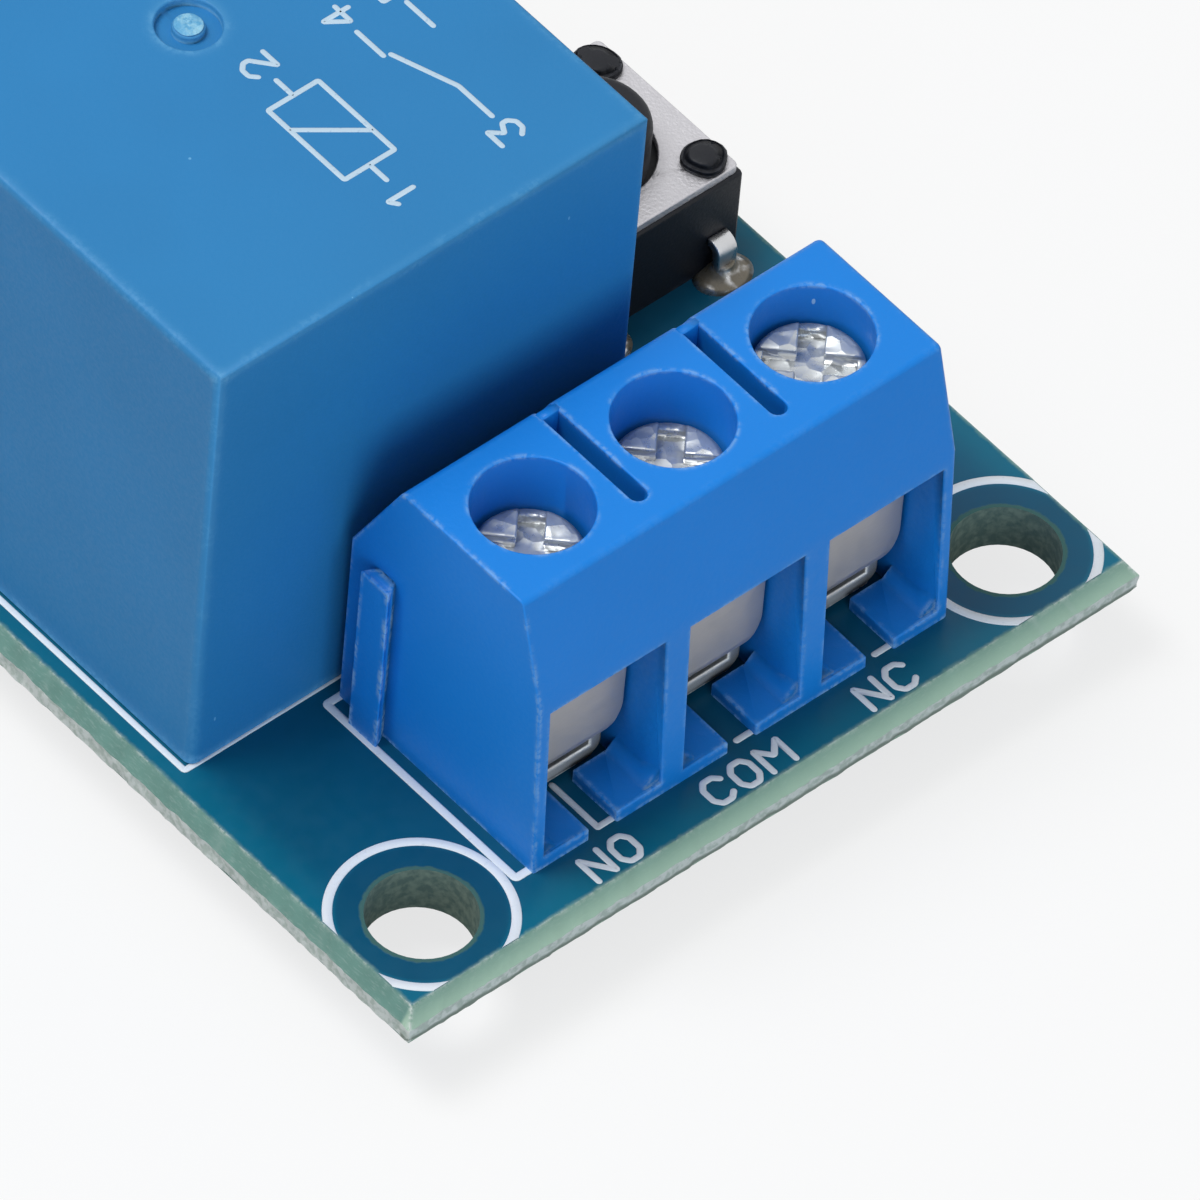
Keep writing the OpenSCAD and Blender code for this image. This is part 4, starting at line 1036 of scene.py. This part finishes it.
class RELAYMODULE_OT_terminal(bpy.types.Operator):
    """Screw terminal: moulding, screws, rising cages and shields"""

    bl_idname = "relaymodule.terminal"
    bl_label = "Screw terminal"

    def execute(self, context):
        colours = context.scene.module_colours
        edges = context.scene.module_edges
        # hollow paints shade into the wells, slots and mouths of the moulding.
        blue = moulded("terminal_blue", colours.terminal, colours.stressed, wear=0.85, specks=0.07,
                       hollow=0.55, **TERMINAL_SKIN)
        softened("terminal_housing", edges.terminal, blue, inner=edges.terminal_inner,
                 segments=3, limit=47)
        # hollow paints shade into the cross slots and round the screw heads.
        zinc = plated("screw_zinc", paint(206, 210, 211), rough=0.34, grain=0.3, depth=0.005, drift=0.3,
                      wear=1.0, hollow=0.65, dents=0.1, metal=0.62)
        # hollow paints deep shade inside the cages, above their floors.
        steel = plated("cage_steel", paint(224, 221, 217), rough=0.5, stretch=(0.5, 3.0, 3.0), wear=0.9,
                       hollow=0.12, metal=0.5)
        tin = plated("shield_tin", paint(196, 190, 186), rough=0.5, stretch=(0.4, 3.0, 3.0), drift=0.06,
                     wear=0.4, mottle=0.01)
        for n in POLES:
            softened(f"terminal_screw_{n}", edges.screw, zinc)
            softened(f"clamp_cage_{n}", edges.cage, steel)
            softened(f"terminal_contact_{n}", edges.metal, tin)
        self.close_slots(colours, edges)
        return {"FINISHED"}

    def close_slots(self, colours, edges):
        """Thin webs that close the slots between the poles at the back of the top."""
        housing = frame["nodes"]["terminal_housing"].data.vertices
        top = max(vert.co.z for vert in housing)
        back = max(vert.co.y for vert in housing if vert.co.z > top - TINY)
        proud = 0.004 * MM
        lap = 2.4 * edges.terminal_inner
        size = Vector((SLOT_W + lap, SLOT_WEB, SLOT_DEPTH + edges.terminal_inner))
        bm = bmesh.new()
        for n in POLES[1:]:
            x = (middle(f"terminal_screw_{n - 1}").x + middle(f"terminal_screw_{n}").x) / 2
            place = Matrix.Translation((x, back + proud - size.y / 2, top + proud - size.z / 2))
            bmesh.ops.create_cube(bm, size=1, matrix=place @ Matrix.Diagonal((*size, 1)))
        weight = bm.edges.layers.float.new("bevel_weight_edge")
        for edge in bm.edges:
            if all(vert.co.z > top - TINY for vert in edge.verts):
                if all(vert.co.y > back - TINY for vert in edge.verts):
                    edge[weight] = 1.0
                elif all(vert.co.y < back - TINY for vert in edge.verts):
                    edge[weight] = edges.terminal_inner / edges.terminal
        plain = moulded("web_blue", colours.terminal, colours.stressed, wear=0.0, **TERMINAL_SKIN)
        webs = new_piece("slot_webs", bm, ROOT, plain)
        round_over(webs, edges.terminal, 3)


class RELAYMODULE_OT_button(bpy.types.Operator):
    """Push button: body, plate, plunger and legs"""

    bl_idname = "relaymodule.button"
    bl_label = "Push button"

    def execute(self, context):
        colours = context.scene.module_colours
        edges = context.scene.module_edges
        black = moulded("button_black", colours.black, colours.black_edge, rough=0.48, grain=0.1, wear=0.35,
                        specks=0.1)
        plate = plated("plate_steel", paint(192, 191, 195), rough=0.5, grain=0.09, depth=0.02, drift=0.12,
                       wear=0.5, mottle=0.03)
        tinned = plated("leg_tin", paint(205, 206, 208), rough=0.32, stretch=DRAWN_UP, wear=0.5)
        softened("button_base", edges.button, black, shape=melted_heads)
        softened("button_plunger", edges.button, black)
        softened("button_plate", edges.metal, plate)
        softened("button_legs", edges.metal, tinned, limit=40)
        dress("button_dome", plate)
        return {"FINISHED"}


class RELAYMODULE_OT_header(bpy.types.Operator):
    """Input header: body and pins"""

    bl_idname = "relaymodule.header"
    bl_label = "Input header"

    def execute(self, context):
        colours = context.scene.module_colours
        radius = context.scene.module_edges.chip
        black = moulded("header_black", colours.black, colours.black_edge, rough=0.5, grain=0.1, wear=0.4)
        gilt = plated("pin_gilt", paint(226, 192, 116), rough=0.28, stretch=DRAWN_UP, drift=0.1, wear=0.4,
                      mottle=0.03)
        softened("header_body", radius, black)
        softened("header_pins", radius, gilt, limit=40)
        return {"FINISHED"}


class RELAYMODULE_OT_small_parts(bpy.types.Operator):
    """Chip, transistor, diode, resistors and lamp, on their soldered pads"""

    bl_idname = "relaymodule.small_parts"
    bl_label = "Small parts"

    def execute(self, context):
        colours = context.scene.module_colours
        radius = context.scene.module_edges.chip
        black = moulded("chip_black", colours.black, paint(84, 86, 92), rough=0.55, grain=0.06, wear=0.3)
        glaze = moulded("resistor_glaze", paint(22, 22, 24), paint(200, 198, 190), rough=0.3, grain=0.2,
                        wear=0.6)
        lamp = moulded("lamp_white", paint(226, 224, 214), paint(245, 245, 240), rough=0.5)
        tinned = plated("lead_tin", paint(204, 205, 207), rough=0.34, wear=0.4)
        for node in ("latch_chip", "driver_transistor", "flyback_diode"):
            softened(node, radius, black)
        softened("chip_resistors", radius, glaze)
        leads = ("latch_chip_leads", "driver_transistor_leads", "flyback_diode_tabs", "chip_end_caps")
        pads = bmesh.new()
        for node in leads:
            softened(node, radius, tinned, limit=40)
            for low, high in foot_boxes(node):
                add_pad(pads, low, high)
        add_pad(pads, *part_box("status_led_base"))
        new_piece("small_part_solder", pads, ROOT, solder_finish("pad_solder", 0.2))
        self.mark_bodies()
        self.draw_tracks(colours)
        softened("status_led_base", radius, lamp)
        softened("status_led", radius, lens_finish())
        return {"FINISHED"}

    def mark_bodies(self):
        """The diode's band and the chip's first-pin ring."""
        pale = ink_finish("body_ink", paint(196, 198, 200), paint(150, 152, 156))
        thick = 0.01 * MM
        sunk = thick / 2
        low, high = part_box("flyback_diode")
        inset = 0.3 * MM
        level = low.y + 0.75 * MM
        band = [([(low.x + inset, level), (high.x - inset, level)], False)]
        ink_lines("diode_band", band, 0.4 * MM, thick, high.z - sunk, pale)
        low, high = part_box("latch_chip")
        inset = 0.7 * MM
        corner = Vector((low.x + inset, high.y - inset))
        turns = [k * math.tau / 12 for k in range(12)]
        ring = [corner + 0.25 * MM * Vector((math.cos(turn), math.sin(turn))) for turn in turns]
        ink_lines("first_pin_ring", [(ring, True)], 0.12 * MM, thick, high.z - sunk, pale)

    def draw_tracks(self, colours):
        """The tracks between the small parts."""
        finish = ink_finish("track_mask", paint(22, 118, 146), colours.mask)
        runs = [
            mm_run((-2.54, 20.3), (-2.54, 18.4), (-0.4, 16.2), (-0.4, 14.9)),
            mm_run((0, 20.3), (0, 18.8), (2.2, 16.6), (2.2, 14.9)),
            mm_run((2.54, 20.3), (2.54, 19.2), (4.8, 17), (4.8, 14.9)),
            mm_run((-0.4, 12.6), (-0.4, 11.9), (1.3, 10.2)),
            mm_run((4.8, 12.6), (4.8, 11.4), (6, 10.2)),
            mm_run((-6.2, 11.8), (-6.2, 15.5), (-3.6, 18.1), (-3.6, 20.2)),
        ]
        width = 0.45 * MM
        ink_lines("small_tracks", runs, width, 0.015 * MM, BOARD_TOP, finish, bend=0.3 * MM)


class RELAYMODULE_OT_stage(bpy.types.Operator):
    """Pale floor, soft lamps, sky and camera"""

    bl_idname = "relaymodule.stage"
    bl_label = "Stage"

    def execute(self, context):
        stage = context.scene.module_stage
        context.scene.view_settings.view_transform = "Standard"
        self.lay_floor(stage)
        self.light_sky(context, stage)
        self.hang_lamp("key lamp", KEY_PLACE, 0.22, stage.key, (1, 1, 1))
        self.hang_lamp("fill lamp", FILL_PLACE, 0.3, stage.fill, stage.cool)
        self.set_camera(context, stage)
        return {"FINISHED"}

    def lay_floor(self, stage):
        bm = bmesh.new()
        bmesh.ops.create_grid(bm, x_segments=1, y_segments=1, size=4)
        bmesh.ops.translate(bm, vec=(0, 0, cad_box[0][2]), verts=bm.verts)
        mesh = filled_mesh("floor", bm)
        in_scene("floor", mesh)
        finish, net, shader = new_finish("pale_floor")
        path = net.add("LightPath").outputs
        pale = shaded(net, stage.floor, 40, 0.02)
        net.put(shader["Base Color"], net.mix(path["Is Diffuse Ray"], pale, stage.bounce))
        shader["Roughness"].default_value = 0.9
        shader["Specular IOR Level"].default_value = 0.1
        seen = net.math("MAXIMUM", path["Is Camera Ray"], path["Is Transmission Ray"])
        glow = net.add("Emission", {"Color": (1, 1, 1), "Strength": 1.0}).outputs[0]
        out = net.tree.nodes["Material Output"].inputs["Surface"]
        surface = out.links[0].from_socket
        lit = net.add("MixShader", {0: net.times(seen, 0.75), 1: surface, 2: glow}).outputs[0]
        clear = net.add("BsdfTransparent").outputs[0]
        behind = net.add("NewGeometry").outputs["Backfacing"]
        net.put(out, net.add("MixShader", {0: behind, 1: lit, 2: clear}).outputs[0])
        mesh.materials.append(finish)

    def light_sky(self, context, stage):
        world = bpy.data.worlds.new("sky")
        context.scene.world = world
        world.use_nodes = True
        world.node_tree.nodes.clear()
        net = Net(world.node_tree)
        path = net.add("LightPath").outputs
        seen = net.math("MAXIMUM", path["Is Camera Ray"], path["Is Glossy Ray"])
        seen = net.math("MAXIMUM", seen, path["Is Transmission Ray"])
        strength = net.step(seen, 0.0, 1.0, stage.sky, 1.0)
        back = net.add("Background", {"Color": (1, 1, 1), "Strength": strength})
        net.add("OutputWorld", {"Surface": back.outputs[0]})

    def hang_lamp(self, name, place, size, power, colour):
        light = bpy.data.lights.new(name, "AREA")
        light.size = size
        light.energy = power
        light.color = colour
        lamp = in_scene(name, light)
        lamp.visible_camera = False
        self.point(lamp, place, LAMP_AIM)

    def point(self, thing, place, aim, roll=0.0):
        """Puts a lamp or camera at a place and turns it to an aim."""
        thing.location = place
        way = Vector(aim) - thing.location
        thing.rotation_mode = "QUATERNION"
        thing.rotation_quaternion = way.to_track_quat("-Z", "Y") @ Quaternion((0, 0, 1), roll)

    def set_camera(self, context, stage):
        data = bpy.data.cameras.new("camera")
        data.sensor_width = 36
        data.lens = stage.lens
        data.clip_start = 0.01
        data.clip_end = 20
        camera = in_scene("camera", data)
        self.point(camera, CAMERA_PLACE, CAMERA_AIM, stage.roll)
        context.scene.camera = camera


class RELAYMODULE_PT_sidebar(bpy.types.Panel):
    """Lists the steps of the relay module"""

    bl_idname = "RELAYMODULE_PT_sidebar"
    bl_label = "Relay module"
    bl_space_type = "VIEW_3D"
    bl_region_type = "UI"
    bl_category = "Relay module"

    def draw(self, context):
        for step in STEPS:
            self.layout.operator(step.bl_idname)


STEPS = (
    RELAYMODULE_OT_board,
    RELAYMODULE_OT_solder,
    RELAYMODULE_OT_relay,
    RELAYMODULE_OT_terminal,
    RELAYMODULE_OT_button,
    RELAYMODULE_OT_header,
    RELAYMODULE_OT_small_parts,
    RELAYMODULE_OT_stage,
)
SETTINGS = {
    "module_colours": ModuleColours,
    "module_edges": ModuleEdges,
    "module_print": ModulePrint,
    "module_stage": ModuleStage,
}
CLASSES = (*SETTINGS.values(), *STEPS, RELAYMODULE_PT_sidebar)


def register():
    for item in CLASSES:
        bpy.utils.register_class(item)
    for name, group in SETTINGS.items():
        setattr(bpy.types.Scene, name, bpy.props.PointerProperty(type=group))


def unregister():
    for name in SETTINGS:
        delattr(bpy.types.Scene, name)
    for item in reversed(CLASSES):
        bpy.utils.unregister_class(item)


def main():
    register()
    bpy.ops.relaymodule.board()
    bpy.ops.relaymodule.solder()
    bpy.ops.relaymodule.relay()
    bpy.ops.relaymodule.terminal()
    bpy.ops.relaymodule.button()
    bpy.ops.relaymodule.header()
    bpy.ops.relaymodule.small_parts()
    bpy.ops.relaymodule.stage()


if __name__ == "__main__":
    main()
